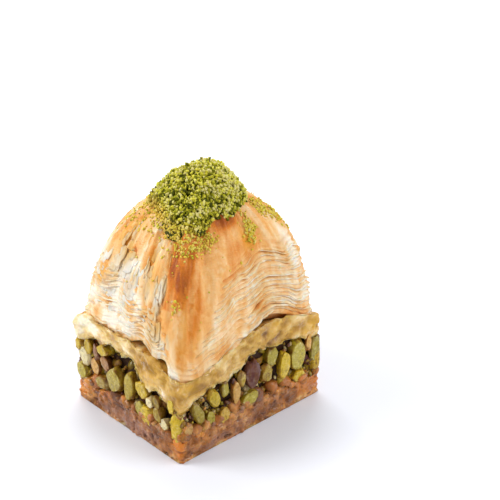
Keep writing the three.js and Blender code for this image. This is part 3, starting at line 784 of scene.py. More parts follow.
# %% Copies
def proto_of(bm):
    """A small shape's vertices and faces as arrays, for making many copies of it."""
    co = np.array([v.co[:] for v in bm.verts])
    faces = np.array([[v.index for v in f.verts] for f in bm.faces])
    bm.free()
    return co, faces


def ball(subdivisions):
    """Vertices and faces of an icosphere with a radius of 1."""
    bm = bmesh.new()
    bmesh.ops.create_icosphere(bm, subdivisions=subdivisions, radius=1)
    return proto_of(bm)


def joined(name, copies, faces):
    """One object from many copies of a shape; copies holds each copy's vertices in mm."""
    copies = np.asarray(copies)
    count, size = copies.shape[:2]
    offsets = np.arange(count)[:, None, None] * size
    mesh = bpy.data.meshes.new(name)
    mesh.from_pydata(copies.reshape(-1, 3) * MM, [], (faces[None] + offsets).reshape(-1, faces.shape[1]))
    mesh.shade_smooth()
    piece = bpy.data.objects.new(name, mesh)
    bpy.context.collection.objects.link(piece)
    return piece


def paint_each(piece, name, values):
    """Stores one number for each copy in a joined piece."""
    paint(piece, name, np.repeat(values, len(piece.data.vertices) // len(values)))


print("an icosphere of three subdivisions has", len(ball(3)[0]), "vertices")

# %% [markdown]
# ## Thin leaf edges
# Relief alone can't show how thin the leaves are. So each shingle line gets a real leaf: a ring as
# thin as card, spun by bmesh from a small circle, whose outer edge is ragged and stands out of the
# dome in some places and lies sunk in it in others. Each follows its line round the whole piece.

# %% Leaf rings
RING_COUNT, RING_AROUND = 15, 720
RING_DEPTH = 1.5  # how far a leaf reaches into the dome, in mm
THIN_LINES = 0.5  # spacing of the fine lines on thin leaves, in mm
RING_SECTION = np.array([(0.0, 0.0), (-0.5, 0.14), (-RING_DEPTH, 0.2), (-RING_DEPTH, -0.1), (-0.5, -0.12)])
RING_EDGES = ((0.7, (3.2, 3.2, 3), 61), (0.34, (1.1, 1.1, 1), 62), (0.16, (0.45, 0.45, 1), 63))
RING_CURLS = ((0.16, (2.2, 2.2, 2), 64), (0.1, (0.8, 0.8, 1), 65))

bm = bmesh.new()
bmesh.ops.create_circle(bm, cap_ends=False, segments=len(RING_SECTION), radius=0.2,
                        matrix=Matrix.Translation((1, 0, 0)) @ Matrix.Rotation(math.pi / 2, 4, "X"))
bmesh.ops.spin(bm, geom=bm.verts[:] + bm.edges[:], cent=(0, 0, 0), axis=(0, 0, 1), angle=2 * math.pi,
               steps=RING_AROUND, use_merge=True, use_duplicate=False)
bmesh.ops.remove_doubles(bm, verts=bm.verts[:], dist=1e-5)
bmesh.ops.recalc_face_normals(bm, faces=bm.faces[:])
ring_co, ring_faces = proto_of(bm)
ring_turn = np.arctan2(ring_co[:, 1], ring_co[:, 0]) / (2 * np.pi) * RING_AROUND
ring_c = (np.round(ring_turn) % RING_AROUND) * SIDES / RING_AROUND
around_section = np.arctan2(ring_co[:, 2], np.hypot(ring_co[:, 0], ring_co[:, 1]) - 1) / (2 * np.pi)
ring_corner = np.round(around_section * len(RING_SECTION)).astype(int) % len(RING_SECTION)
ring_out, ring_up = RING_SECTION[ring_corner].T
ring_tip = 1 + ring_out / RING_DEPTH  # 1 at the free edge, 0 at the held one
print("a ring has", len(ring_co), "vertices and", len(ring_faces), "faces")

# %% [markdown]
# Each ring is then laid along its shingle line. Where that line runs depends on mottle, so it is
# found by stepping towards it a few times. The rings differ in how far they stand out and how they
# curl, and the lowest one stays back a little, as the lip covers it.

# %% Rings on their lines
LINE_STEPS, LINE_STEP_SHARE = 6, 0.7
RING_STAND, RING_SUNK, LOWEST_BACK = 0.18, 1.6, 0.4  # out of the leaves, under the skin, under the lip
RING_PALE = 0.12  # how much less toasted the free edge is


def line_height(c, number):
    """Height at which shingle line `number` runs."""
    z = lip_height(c) + number * LEAF_PITCH
    for _ in range(LINE_STEPS):
        z = z + LINE_STEP_SHARE * LEAF_PITCH * (number - leaf_phase(c, z))
    return np.maximum(z, lip_height(c) + 0.15 + 0.3 * number)


def leaf_ring(number):
    """One thin leaf in mm, with its ragged edge."""
    line = line_height(ring_c, number)
    q = unrolled(ring_c, line * 0 + number * 9)  # another part of the mottle for each leaf
    stand = swell(ring_c, line) + RING_STAND + mottles(q, RING_EDGES)
    stand -= RING_SUNK * (1 - opened(ring_c, line)) + LOWEST_BACK * (number == 0)
    return dome_point(ring_c, line + ring_up + mottles(q, RING_CURLS) * ring_tip, stand + ring_out)


leaf_rings = joined("leaf_rings", [leaf_ring(number) for number in range(RING_COUNT)], ring_faces)
ring_z = points_of(leaf_rings)[:, 2]
ring_places, ring_tips = np.tile(ring_c, RING_COUNT), np.tile(ring_tip, RING_COUNT)
# The held edge of each thin leaf, sunk in the dome, gets painted shade.
paint_dough(leaf_rings, leaf=ring_z / THIN_LINES, toast=toasting(ring_places, ring_z) - RING_PALE * ring_tips,
            gap=0.5 * (1 - ring_tips), gloss=spots(ring_places, ring_z, GLOSSY_PLACES),
            ochre=ochre_at(ring_places, ring_z))
settle(leaf_rings, "flaky_dome")

# %% [markdown]
# ## Loose flakes
# Where the skin blistered, thin flakes have come loose and stand away from the dome, most of them on
# the left face. Each starts as a flat bmesh grid, which the Solidify operator makes as thick as
# paper. It is then bent onto the dome, torn at its rim by mottle, and held along its upper edge.

# %% Flakes
FLAKE_COLUMNS, FLAKE_ROWS = 7, 12
FLAKE_THICKNESS = 0.08
FLAKE_FIELDS = (  # rim coordinate, height, spread in rim units and mm, count, half width and height in mm
    (2.45, 33.0, 0.2, 4.5, 60, 0.8, 1.9), (2.75, 28.0, 0.08, 5.0, 20, 0.7, 1.7),
    (2.2, 36.0, 0.15, 3.5, 22, 0.8, 1.8), (0.5, 34.0, 0.2, 5.0, 16, 0.9, 1.7),
    (1.5, 33.0, 0.22, 5.0, 16, 0.9, 1.7),
)
FLAKE_HEIGHTS = (25, 42)  # no flake has its middle outside these
FLAKE_PALE, LEFT_PALE = 0.14, 0.2  # how much less toasted flakes are, everywhere and on the left face
RIM_UNIT = 20  # about so many mm of rim to one unit, high on the dome

bm = bmesh.new()
bmesh.ops.create_grid(bm, x_segments=FLAKE_COLUMNS, y_segments=FLAKE_ROWS, size=1)
bmesh.ops.solidify(bm, geom=bm.faces[:], thickness=FLAKE_THICKNESS)
bmesh.ops.recalc_face_normals(bm, faces=bm.faces[:])
flat_flake, flake_faces = proto_of(bm)


def flake(c, z, half_width, half_height, stand, seed):
    """One torn flake in mm, held where the flat grid's y is 1."""
    along, upward, layer = flat_flake.T
    tag = np.stack([along * half_width, upward * half_height, along * 0 + seed], axis=-1)
    along, upward = np.clip(along, -1, 1), np.clip(upward, -1, 1)
    torn = 1 + 0.4 * mottle(tag, (0.9, 0.9, 1), 52)
    across = along * half_width * torn * (1 - 0.3 * upward**2)
    free = (1 - upward) / 2
    height = z + upward * half_height * torn
    lifted = -0.05 + stand * free**1.4 * (1 + 0.5 * mottle(tag, (1.1, 1.1, 1), 54))
    lifted += dome_relief(np.full(1, c % SIDES), np.full(1, z))[0]
    return dome_point((c + across / RIM_UNIT) % SIDES, height, lifted + layer)


draw = np.random.default_rng(51)
flakes = []
for c, z, wide, tall, count, half_width, half_height in FLAKE_FIELDS:
    for _ in range(count):
        size = draw.uniform(0.5, 1.2)
        at = c + wide * np.clip(draw.normal(), -1.8, 1.8)
        height = float(np.clip(draw.normal(z, tall), *FLAKE_HEIGHTS))
        stand, seed = draw.uniform(0.03, 0.17), draw.uniform(0, 500)
        flakes.append(flake(at, height, half_width * size, half_height * size, stand, seed))
skin_flakes = joined("skin_flakes", flakes, flake_faces)
flake_x, flake_y, flake_z = points_of(skin_flakes).T
flake_turn = np.arctan2(flake_y / (SIDE_WIDTH / 2), (flake_x - LEAN[0]) / (FRONT_WIDTH / 2))
flake_c = (flake_turn / (np.pi / 2) + 0.5) % SIDES
flake_toast = toasting(flake_c, flake_z) - FLAKE_PALE - LEFT_PALE * near(flake_c, 2.45, 0.4)
flake_ochre = 0.7 * ochre_at(flake_c, flake_z)
paint_dough(skin_flakes, leaf=flake_z / THIN_LINES, toast=flake_toast, gap=0, gloss=0, ochre=flake_ochre)
settle(skin_flakes, "flaky_dome")

# %% [markdown]
# ## The pistachio filling
# Behind the kernels is a smaller, dark core of nut paste and syrup, which shows only where nothing
# else lies; its darkness is partly painted shade of the gaps between the kernels. It is a plain sphere
# carried to the filling's place, with mottle over it and a hollow pressed in wherever the cut face is
# dark and deep.

# %% Core of the filling
DARK_HOLLOWS = (  # rim coordinate, height, half widths, depth in mm
    (2.45, 14.4, 0.08, 1.8, 3.0), (2.86, 10.8, 0.04, 1.6, 2.0), (2.61, 9.0, 0.03, 0.9, 1.5),
    (3.55, 17.4, 0.06, 1.3, 2.2), (3.71, 16.5, 0.05, 1.2, 2.0), (3.885, 10.8, 0.02, 3.0, 1.6),
    (3.33, 11.3, 0.025, 2.5, 1.6), (3.04, 12.2, 0.04, 1.6, 2.0), (3.26, 8.8, 0.03, 1.4, 2.0),
    (3.44, 15.6, 0.05, 1.6, 2.2), (3.65, 9.4, 0.03, 1.6, 1.4), (2.1, 15.2, 0.08, 1.0, 1.6),
    (0.4, 14.0, 0.06, 1.6, 2.0), (0.75, 9.0, 0.05, 1.6, 2.0), (1.25, 12.0, 0.06, 1.8, 2.0),
    (1.7, 14.0, 0.06, 1.5, 2.0),
)
CORE_REACH, CORE_EDGE = 0.9, 0.25  # CORE_EDGE is the share at which the rings reach the cut face
CORE_AROUND, CORE_RINGS = 320, 40
CORE_SINK = 0.6  # how far the core runs into the layers above and below it

bm, c, share = sphere_grid(CORE_AROUND, CORE_RINGS)
down = np.clip((share - CORE_EDGE) / (1 - 2 * CORE_EDGE), 0, 1)
reach = CORE_REACH * np.clip(np.minimum(share, 1 - share) / CORE_EDGE, 0, 1)
ceiling = soaked_underside(c, reach) + CORE_SINK
points = point_at(c, reach, blend(ceiling, BASE_HEIGHT - CORE_SINK, down), CUT_SQUARENESS)
core = to_object(bm, "nut_paste", points)
hollow = spots(c, points[:, 2], DARK_HOLLOWS)
raise_surface(core, (0.7 * mottle(points, 1.8, 71) - hollow) * ease(reach, 0.7, 0.88))
settle(core, "pistachio_filling")

# %% [markdown]
# The kernels stand in the cut faces. They are chopped, so they have blunt ends, and the knife has
# sliced some of them flat. A boolean cut would be slow and leave ragged meshes. So a kernel starts
# as an icosphere, is stretched and dented along its length, and whatever stands past a cut is
# pressed back to it.

# %% One kernel
FACE_NORMALS = np.array([
    (math.sin(CUT_ANGLE), -math.cos(CUT_ANGLE), 0), (0, 1, 0),
    (-math.sin(CUT_ANGLE), math.cos(CUT_ANGLE), 0), (0, -1, 0),
])
CHOPS = 4  # random cuts to a kernel, before the one at the face of the piece
DENTS = ((0.16, (0.4, 0.4, 2.2), 72), (0.14, 0.75, 73), (0.05, (0.22, 0.22, 0.5), 74))
GROOVES = ((0.1, (0.6, 0.6, 1.6), 76), (0.04, 0.35, 77))
FACE_INSET = 0.6  # kernels near a corner stay this many mm inside the other face


def turned(points, axis, angle):
    """Points turned about an axis through the origin, by an angle in radians."""
    return points @ np.array(Matrix.Rotation(angle, 3, Vector(axis))).T


def sliced(points, normal, depth, softness=0.08):
    """Presses what stands further out than `depth` along normal back to it, as a cut does."""
    proud = np.maximum(points @ normal - depth, 0)
    return points - np.outer(proud * (1 - softness), normal), proud


def kernel(shape, c, z, half_width, half_height, tilt, inset, draw, inwards=None):
    """One chopped kernel at rim coordinate c, its middle `inset` half widths behind the cut face."""
    shift = draw.uniform(0, 100, 3)
    co = shape * (1 + mottles(shape + shift, DENTS))[:, None]
    bare = np.zeros(len(co))
    for _ in range(CHOPS):
        chop = draw.normal(size=3) * (1, 1, 0.7)
        co, proud = sliced(co, chop / np.linalg.norm(chop), draw.uniform(0.6, 0.92), 0.3)
        bare = np.maximum(bare, proud)
    co = co * (half_width, half_width * draw.uniform(0.75, 0.95), half_height)
    face = int(c) % SIDES
    normal, beside = FACE_NORMALS[face], (face + (1 if c % 1 > 0.5 else -1)) % SIDES
    co = turned(turned(co, (0, 0, 1), draw.uniform(0, math.pi)), normal, math.radians(tilt))
    inwards = -normal if inwards is None else inwards / -(inwards @ normal)
    co, proud = sliced(co + inwards * half_width * inset, normal, draw.uniform(-0.3, 0.3))
    co = co + np.outer((proud > 0.02) * mottles(co + shift, GROOVES), normal)
    co = co + point_at(np.array(c), 1.0, z, CUT_SQUARENESS)
    limit = point_at(np.array(beside + 0.5), 1.0, z, CUT_SQUARENESS) @ FACE_NORMALS[beside]
    co = sliced(co, FACE_NORMALS[beside], limit - FACE_INSET, 0.35)[0]
    return co, ease(np.maximum(0.6 * bare, proud * 1.5), 0.03, 0.3)


print("a kernel gets", CHOPS, "chops and one cut at the face")

# %% [markdown]
# On the two front faces each kernel has a place of its own, since a random scatter never gives the
# same crowding and the same mix of kinds. The purple ones still wear their skin. The one in the
# near corner was never cut, and the syrup has rinsed it bare.

# %% Places of the shown kernels
# Kinds, which the finish reads as places on its colour ramps:
OLIVE, MOSS, GREEN, LIME, YELLOW, HONEY = 0.1, 0.2, 0.28, 0.38, 0.46, 0.55
TAN, RED, ROSE, PLUM, PURPLE, PALE = 0.64, 0.67, 0.74, 0.77, 0.8, 0.97
KINDS = (OLIVE, OLIVE, GREEN, YELLOW, YELLOW, TAN, PURPLE, PALE)  # what the random ones are drawn from
CORNER = 2.98  # the kernel in the near corner, which no cut reached
SHOWN_KERNELS = (  # rim coordinate, height, half width, half height in mm, tilt in degrees, kind
    (2.05, 13.4, 1.5, 1.6, 0, YELLOW), (2.10, 11.3, 2.1, 2.5, 10, PALE), (2.08, 7.6, 2.0, 1.9, 20, GREEN),
    (2.14, 14.1, 1.25, 1.9, 6, YELLOW), (2.20, 10.2, 1.8, 1.9, 20, RED),
    (2.30, 15.6, 2.1, 1.3, 0, YELLOW), (2.29, 7.8, 2.6, 1.4, 5, OLIVE), (2.30, 12.5, 1.6, 1.8, 40, ROSE),
    (2.41, 10.2, 2.6, 3.0, -6, MOSS), (2.215, 13.9, 1.0, 1.9, 6, PLUM), (2.545, 11.0, 2.0, 3.7, -4, LIME),
    (2.67, 12.0, 2.5, 2.1, 20, YELLOW), (2.74, 10.4, 1.5, 1.2, 0, PALE), (2.79, 11.2, 1.2, 1.3, 40, OLIVE),
    (2.635, 6.9, 1.6, 1.8, 0, GREEN), (2.715, 6.2, 2.7, 2.5, -25, YELLOW), (2.81, 8.4, 1.5, 2.2, 12, OLIVE),
    (2.86, 7.2, 1.5, 1.4, -10, PALE), (CORNER, 8.0, 1.7, 3.6, 2, YELLOW), (2.92, 12.2, 1.0, 1.7, 0, YELLOW),
    (3.115, 10.0, 1.45, 3.0, 18, MOSS), (3.22, 11.8, 1.5, 2.6, 14, YELLOW), (3.20, 7.2, 1.5, 1.9, 6, GREEN),
    (3.295, 6.3, 1.5, 2.0, 14, HONEY), (3.295, 12.5, 1.1, 1.8, -2, GREEN), (3.375, 10.4, 1.5, 2.4, 0, TAN),
    (3.415, 13.0, 1.1, 1.8, 0, OLIVE), (3.48, 13.1, 2.6, 3.3, -5, PURPLE), (3.59, 11.3, 1.7, 2.3, -4, OLIVE),
    (3.465, 7.6, 2.6, 1.4, 0, GREEN), (3.625, 14.6, 2.0, 2.1, 0, GREEN), (3.715, 11.4, 1.7, 3.6, -4, YELLOW),
    (3.805, 12.6, 2.9, 3.9, 2, GREEN), (3.90, 13.6, 1.1, 2.3, 0, TAN), (3.95, 11.0, 1.7, 3.7, -2, GREEN),
    (3.82, 7.0, 2.6, 1.1, 0, YELLOW), (3.045, 7.4, 1.3, 1.5, 0, TAN),
)
print(len(SHOWN_KERNELS), "kernels have places of their own")

# %% [markdown]
# Each of these kernels keeps the place and the size that it has in the table, so it is set back into
# the face along the line of sight. Set straight back, the deeper ones would seem to slide sideways.

# %% Shown kernels
SHOWN_INSET, CORNER_INSET = 0.35, 0.7
SIGHT = np.array(CAMERA_LOOK)


def bareness(place, cut):
    """How much flesh shows: purple kernels keep their skin, and the corner one has lost all of it."""
    if place[-1] == PURPLE:
        return 0.05 * cut
    return np.ones(len(cut)) if place[0] == CORNER else cut


round_kernel, kernel_faces = ball(4)
draw = np.random.default_rng(75)
shown = []
for c, z, wide, tall, tilt, _ in SHOWN_KERNELS:
    inset = CORNER_INSET if c == CORNER else SHOWN_INSET
    shown.append(kernel(round_kernel, c, z, wide, tall, tilt, inset, draw, SIGHT))
kernels = joined("pistachio_kernels", [co for co, _ in shown], kernel_faces)
paint_each(kernels, "kind", [place[-1] for place in SHOWN_KERNELS])
paint(kernels, "cut", np.concatenate([bareness(place, cut) for place, (_, cut) in zip(SHOWN_KERNELS, shown)]))
paint_each(kernels, "tint_and_depth_shade", draw.uniform(-0.6, 1, len(shown)))
settle(kernels, "pistachio_filling")

# %% [markdown]
# The other two faces get kernels by the same rule, drawn at random in two rough rows. Smaller
# pieces fill the gaps further in on all four faces, but stay out of the dark hollows. As these are
# many and mostly hidden, they have fewer faces.

# %% More kernels
BACK_KERNELS, BACKING_KERNELS = 50, 220
plain_kernel, plain_faces = ball(3)
rough_kernel, rough_faces = ball(2)
draw = np.random.default_rng(76)


def random_kernel(number):
    """A kernel of the right or the back face, in the upper row or the lower one."""
    c = (number + draw.uniform(0.2, 0.8)) * 2 / BACK_KERNELS
    half_height, half_width = draw.uniform(1.8, 3.4), draw.uniform(1.4, 2.3)
    high = float(underside_at_rim(np.array(c))) - half_height + 0.3
    low = BASE_HEIGHT + half_height - 0.6
    z = high if number % 2 else low
    return kernel(plain_kernel, c, z, half_width, half_height, draw.uniform(-25, 25), 0.5, draw)


def backing_kernel(number):
    """A smaller piece further in, on any face, but not in a hollow."""
    c = (number + draw.uniform()) * SIDES / BACKING_KERNELS
    half = draw.uniform(0.7, 1.4)
    z = blend(BASE_HEIGHT, float(underside_at_rim(np.array(c))) - 0.8, draw.uniform() ** 1.3)
    inset = draw.uniform(1.4, 2.4) + 1.5 * min(float(spots(np.array(c), z, DARK_HOLLOWS)), 2)
    return kernel(rough_kernel, c, z, half, half * draw.uniform(1, 1.6), draw.uniform(-80, 80), inset, draw)


filling_pieces = [kernels]
for name, count, make, faces, brightest in (
    ("back_kernels", BACK_KERNELS, random_kernel, plain_faces, 1),
    # The small kernels lie further in, so their tint stops lower: painted shade.
    ("small_kernels", BACKING_KERNELS, backing_kernel, rough_faces, 0.2),
):
    made = [make(number) for number in range(count)]
    piece = joined(name, [co for co, _ in made], faces)
    paint_each(piece, "kind", draw.choice(KINDS, count))
    paint(piece, "cut", np.concatenate([cut for _, cut in made]))
    paint_each(piece, "tint_and_depth_shade", draw.uniform(-0.8, brightest, count))
    settle(piece, "pistachio_filling")
    filling_pieces.append(piece)

# %% [markdown]
# Between the kernels lie crumbs of nut, stuck together with syrup. They are icospheres of 20 faces,
# pushed out of round and scattered over the cut faces, most of them low down, where crumbs settle.
# A particle system could scatter them too, but couldn't keep them out of the hollows.

# %% Crumbs in the filling
NUT_BIT_COUNT = 1500
round_grain, grain_faces = ball(1)


def grain_copies(shape, places, sizes, draw):
    """Stretched and turned grains at these places, all in mm."""
    count = len(places)
    co = shape[None] * draw.uniform(0.7, 1.3, (count, len(shape), 1))
    stretch = draw.uniform((0.6, 0.6, 0.8), (1.0, 1.0, 1.7), (count, 3))
    co = co * (np.asarray(sizes)[:, None] * stretch)[:, None]
    turns = []
    for _ in range(count):
        angles = draw.uniform(0, 2 * math.pi, 2)
        turns.append(Matrix.Rotation(angles[0], 3, "Z") @ Matrix.Rotation(angles[1], 3, "X"))
    return np.einsum("nij,nvj->nvi", np.array(turns), co) + np.asarray(places)[:, None]


draw = np.random.default_rng(77)
bit_c = draw.uniform(0, SIDES, NUT_BIT_COUNT)
bit_z = blend(BASE_HEIGHT - 0.2, underside_at_rim(bit_c), draw.uniform(0, 0.95, NUT_BIT_COUNT) ** 1.7)
bit_inset = draw.uniform(0.7, 2.8, NUT_BIT_COUNT) + 2.0 * spots(bit_c, bit_z, DARK_HOLLOWS)
bit_places = point_at(bit_c, 1.0, bit_z, CUT_SQUARENESS, -bit_inset)
bit_sizes = draw.uniform(0.2, 0.6, NUT_BIT_COUNT)
bits = joined("nut_crumbs", grain_copies(round_grain, bit_places, bit_sizes, draw), grain_faces)
paint_each(bits, "kind", draw.choice(KINDS, NUT_BIT_COUNT))
paint_each(bits, "cut", draw.uniform(0, 0.8, NUT_BIT_COUNT))
# Crumbs lie further in and draw darker tints: their own tone and painted shade.
paint_each(bits, "tint_and_depth_shade", draw.uniform(-1, 0.4, NUT_BIT_COUNT))
settle(bits, "pistachio_filling")
filling_pieces.append(bits)

# %% [markdown]
# The soaked dough of the base has swelled up between the nuts. That hides the line between the two,
# and it is made of soft lumps a few millimetres wide: dented icospheres, sunk into the base. Those
# on the two front faces have places of their own, and the rest are drawn at random.

# %% Lumps of dough among the nuts
SHOWN_LUMPS = (  # rim coordinate, height, half width, half height in mm, warmth, lightness
    (2.07, 4.6, 2.4, 1.5, 0.8, 0.5), (2.17, 6.2, 2.2, 1.2, 0.6, -0.7),
    (2.38, 5.6, 2.2, 1.4, 0.1, -1.0), (2.53, 5.2, 2.0, 1.2, -0.2, -0.4), (2.78, 4.6, 1.9, 1.3, 0.2, -0.8),
    (2.92, 4.6, 1.6, 1.2, 0.3, -0.4), (3.08, 6.0, 1.7, 1.3, 0.2, -0.2), (3.16, 5.9, 1.5, 1.1, 0.1, 0.0),
    (3.25, 5.4, 1.6, 1.1, 0.3, 0.2), (3.37, 6.2, 1.9, 1.9, -0.2, 0.4), (3.46, 6.1, 1.7, 1.6, 0.1, 0.4),
    (3.56, 6.2, 1.8, 1.4, -0.5, -0.6), (3.67, 6.5, 1.9, 1.8, 0.3, -0.8), (3.77, 6.0, 1.9, 1.3, 0.4, 0.3),
    (3.9, 5.4, 2.4, 1.3, 0.8, 0.2),
)
LUMP_COUNT = 90
LUMP_DENTS = ((0.3, 0.9, 78), (0.2, 0.4, 79))
LUMP_SINK = 0.9  # how many half widths a lump's middle lies behind the face
lump_shape, lump_faces = ball(3)


def lump(c, z, half_width, half_height):
    """One dented lump in mm, most of it sunk in the face."""
    shift = draw.uniform(0, 100, 3)
    co = lump_shape * (1 + mottles(lump_shape + shift, LUMP_DENTS))[:, None]
    co = co * (half_width, half_width, half_height)
    co = sliced(co, FACE_NORMALS[int(c) % SIDES], 0.85 * half_width, 0.3)[0]
    return co + point_at(np.array(c), 1.0, z, CUT_SQUARENESS, -LUMP_SINK * half_width)


lump_list = list(SHOWN_LUMPS)
for number in range(LUMP_COUNT):
    half = draw.uniform(0.6, 1.6)
    lump_list.append((draw.uniform(0, SIDES), draw.uniform(4.6, 6.0), half, half * draw.uniform(0.6, 1.0),
                      draw.uniform(-0.6, 0.7), draw.uniform(-0.4, 0.6)))
lumps = joined("dough_lumps", [lump(*row[:4]) for row in lump_list], lump_faces)
lump_height = points_of(lumps)[:, 2]
paint(lumps, "leaf", lump_height / BASE_LEAF)
paint(lumps, "hole_shade", np.zeros(len(lump_height)))
paint_each(lumps, "warm", [row[4] for row in lump_list])
paint_each(lumps, "light", [row[5] for row in lump_list])
settle(lumps, "base_pastry")

# %% [markdown]
# ## The heap of ground pistachio
# Ground pistachio is a heap of grains about half a millimetre across. A heap of loose grains alone
# would have holes or need far too many of them. So one core carries its shape: a sphere whose upper
# rings follow the dome and rise to the heap's height, and whose lower rings lie on the dome.

# %% Core of the heap
HEAP_REACHES = np.array([0.43, 0.43, 0.42, 0.42, 0.42, 0.42, 0.42, 0.42,
                         0.48, 0.53, 0.55, 0.66, 0.645, 0.57, 0.55, 0.47])  # at each quarter unit of the rim
HEAP_AROUND, HEAP_RINGS = 160, 60
HEAP_EDGE, HEAP_THICKNESS = 0.6, 4.4  # thickness at its edge and in its middle, in mm
HEAP_SHIFT = np.array([1.2, -0.6])  # how far its top leans over, in mm
HEAP_LUMPS = ((0.5, 2.6, 84), (0.45, 1.2, 85))
HEAP_TOP_SHARE = 0.6  # share of the rings that lie on top of the core
HEAP_CORE_SINK = 0.75  # how far the core stays below the grains, in mm


def heap_reach(c):
    """How far the heap reaches, as a share of the outline."""
    place = c * len(HEAP_REACHES) / SIDES
    here = np.floor(place).astype(int)
    after = (here + 1) % len(HEAP_REACHES)
    reach = blend(HEAP_REACHES[here % len(HEAP_REACHES)], HEAP_REACHES[after], ease(place - here, 0, 1))
    return reach * (1 + 0.08 * mottle(unrolled(c, 0 * c), (3.5, 3.5, 5), 82))


def heap_point(c, share, raised):
    """A point on the heap, share of the way from its middle to its edge, and raised by some mm."""
    p = dome_point(c, dome_height_at(heap_reach(c) * share))
    thick = blend(HEAP_EDGE, HEAP_THICKNESS, (1 - share**2) ** 0.9)
    lumpy = mottles(p, HEAP_LUMPS)
    p[..., :2] += HEAP_SHIFT * ((1 - share**2) * thick / HEAP_THICKNESS)[..., None]
    p[..., 2] += LAYER_GAP + thick + lumpy * (1 - share**6) + raised
    return p


bm, c, share = sphere_grid(HEAP_AROUND, HEAP_RINGS)
upper, lower = share / HEAP_TOP_SHARE, (1 - share) / (1 - HEAP_TOP_SHARE)
out = np.clip(np.where(share < HEAP_TOP_SHARE, upper, lower), 0, 1)
under = dome_point(c, dome_height_at(heap_reach(c) * out)) + (0, 0, 0.05)
points = np.where((share > HEAP_TOP_SHARE)[:, None], under, heap_point(c, out, -HEAP_CORE_SINK))
heap = to_object(bm, "ground_pistachio_core", points)
settle(heap, "ground_pistachio")

# %% [markdown]
# Some thousands of small, low-sided grains lie in and on the core, each stretched and turned in its
# own way. Deeper grains are painted darker, as shade in the pits between them, and listed spots get
# painted shade in hollows and under the heap's edge and painted light on its top. On the left face,
# where the butter of the dome has soaked into the heap's edge, they are yellower.

# %% Grains of the heap
GRAIN_COUNT = 8200
GRAIN_SINK = 0.85  # how deep the lowest grains lie, in mm
OILED = (2.55, 0.45)  # rim coordinate and half width of the buttery edge
GRAIN_CLUMPS = ((0.5, 1.3, 86), (0.15, 3.5, 87))
# Painted shade in hollows and below the heap's edge, and painted light on its top where the strength is below
# 0.
HEAP_SHADE_AND_LIGHT = (  # x, y, z and radius in mm, strength: dark hollows, or bright places below 0
    (0.2, -2.4, 51.2, 2.0, 1.0), (-6.0, 1.5, 48.5, 2.6, 0.6), (-7.4, 3.6, 50.0, 1.7, 0.7),
    (-6.5, -4.5, 50.4, 1.6, 1.2), (-9.2, -4.9, 48.2, 1.4, 0.6), (-2.3, -10.0, 45.6, 2.0, 0.8),
    (-10.3, -7.5, 45.2, 1.6, 0.7), (2.2, -1.4, 53.7, 2.0, -0.9), (5.2, -5.5, 50.7, 2.0, -1.0),
    (-10.2, 0.6, 47.1, 1.5, -0.6), (-4.9, -2.8, 51.6, 1.2, -0.4),
)

draw = np.random.default_rng(81)
grain_c = draw.uniform(0, SIDES, GRAIN_COUNT)
grain_share = np.sqrt(draw.uniform(0, 1, GRAIN_COUNT)) * draw.uniform(0.9, 1.04, GRAIN_COUNT)
grain_share = np.clip(grain_share, 0, 1)
grain_rise = draw.uniform(-GRAIN_SINK, 0.1, GRAIN_COUNT) + 0.7 * draw.uniform(0, 1, GRAIN_COUNT) ** 7
grain_places = heap_point(grain_c, grain_share, grain_rise)
grain_sizes = draw.uniform(0.2, 0.44, GRAIN_COUNT)
grain_shapes = grain_copies(round_grain, grain_places, grain_sizes, draw)
grains = joined("ground_pistachio_grains", grain_shapes, grain_faces)
painted_shade_and_light = np.zeros(GRAIN_COUNT)
for *middle, radius, strength in HEAP_SHADE_AND_LIGHT:
    painted_shade_and_light += strength * np.exp(-(np.sum((grain_places - middle) ** 2, axis=1) / radius**2))
# Grains lying deeper get painted shade, as in the pits between them.
pit_shade = np.clip(-grain_rise / GRAIN_SINK, 0, 1)
grain_shade = draw.uniform(0.15, 1.22, GRAIN_COUNT) + mottles(grain_places, GRAIN_CLUMPS)
paint_each(grains, "shade", np.clip(grain_shade - 0.4 * painted_shade_and_light - 0.2 * pit_shade, 0, 0.97))
paint_each(grains, "oiled", 0.75 * ease(grain_share, 0.82, 1) * near(grain_c, *OILED))
settle(grains, "ground_pistachio")

# %% [markdown]
# Loose crumbs have rolled down the dome and stick to its butter, most of them close to the heap, in
# patches. They have to lie on the real, uneven surface, so each place is found by a ray from outside
# that meets the dome. Placing them by the smooth profile would leave some afloat and bury others.

# %% Crumbs on the dome
CRUMB_PATCHES = (  # rim coordinate, height, spread in rim units and in mm, count
    (2.88, 42.6, 0.12, 1.1, 95), (2.95, 41.4, 0.1, 0.8, 40), (3.08, 43.2, 0.07, 1.0, 90),
    (3.635, 42.5, 0.022, 1.1, 90), (3.6, 40.9, 0.022, 1.0, 70), (3.92, 44.2, 0.07, 1.1, 130),
    (0.02, 41.6, 0.06, 1.2, 110), (3.22, 42.2, 0.04, 0.8, 60), (2.5, 44.2, 0.1, 0.9, 45),
    (2.28, 45.6, 0.12, 1.0, 60), (2.92, 32.0, 0.02, 0.8, 22), (2.3, 43.6, 0.14, 1.0, 44),
    (2.12, 41.4, 0.06, 0.8, 14), (1.1, 44.0, 0.7, 1.0, 90), (3.0, 36.0, 0.4, 5.0, 26),
)

dome_tree = BVHTree.FromObject(dome, bpy.context.evaluated_depsgraph_get())


def on_dome(c, z):
    """The place in mm and the normal where the real, uneven dome lies at that rim coordinate and height."""
    inside = Vector((*LEAN, z * 0.75)) * MM  # a little lower than the place, on the dome's axis
    aim = Vector(dome_point(np.array(c), np.array(z))) * MM
    far = inside + (aim - inside) * 1.5
    hit, normal, _, _ = dome_tree.ray_cast(far, inside - far)
    return (None, None) if hit is None else (np.array(hit) / MM, np.array(normal))


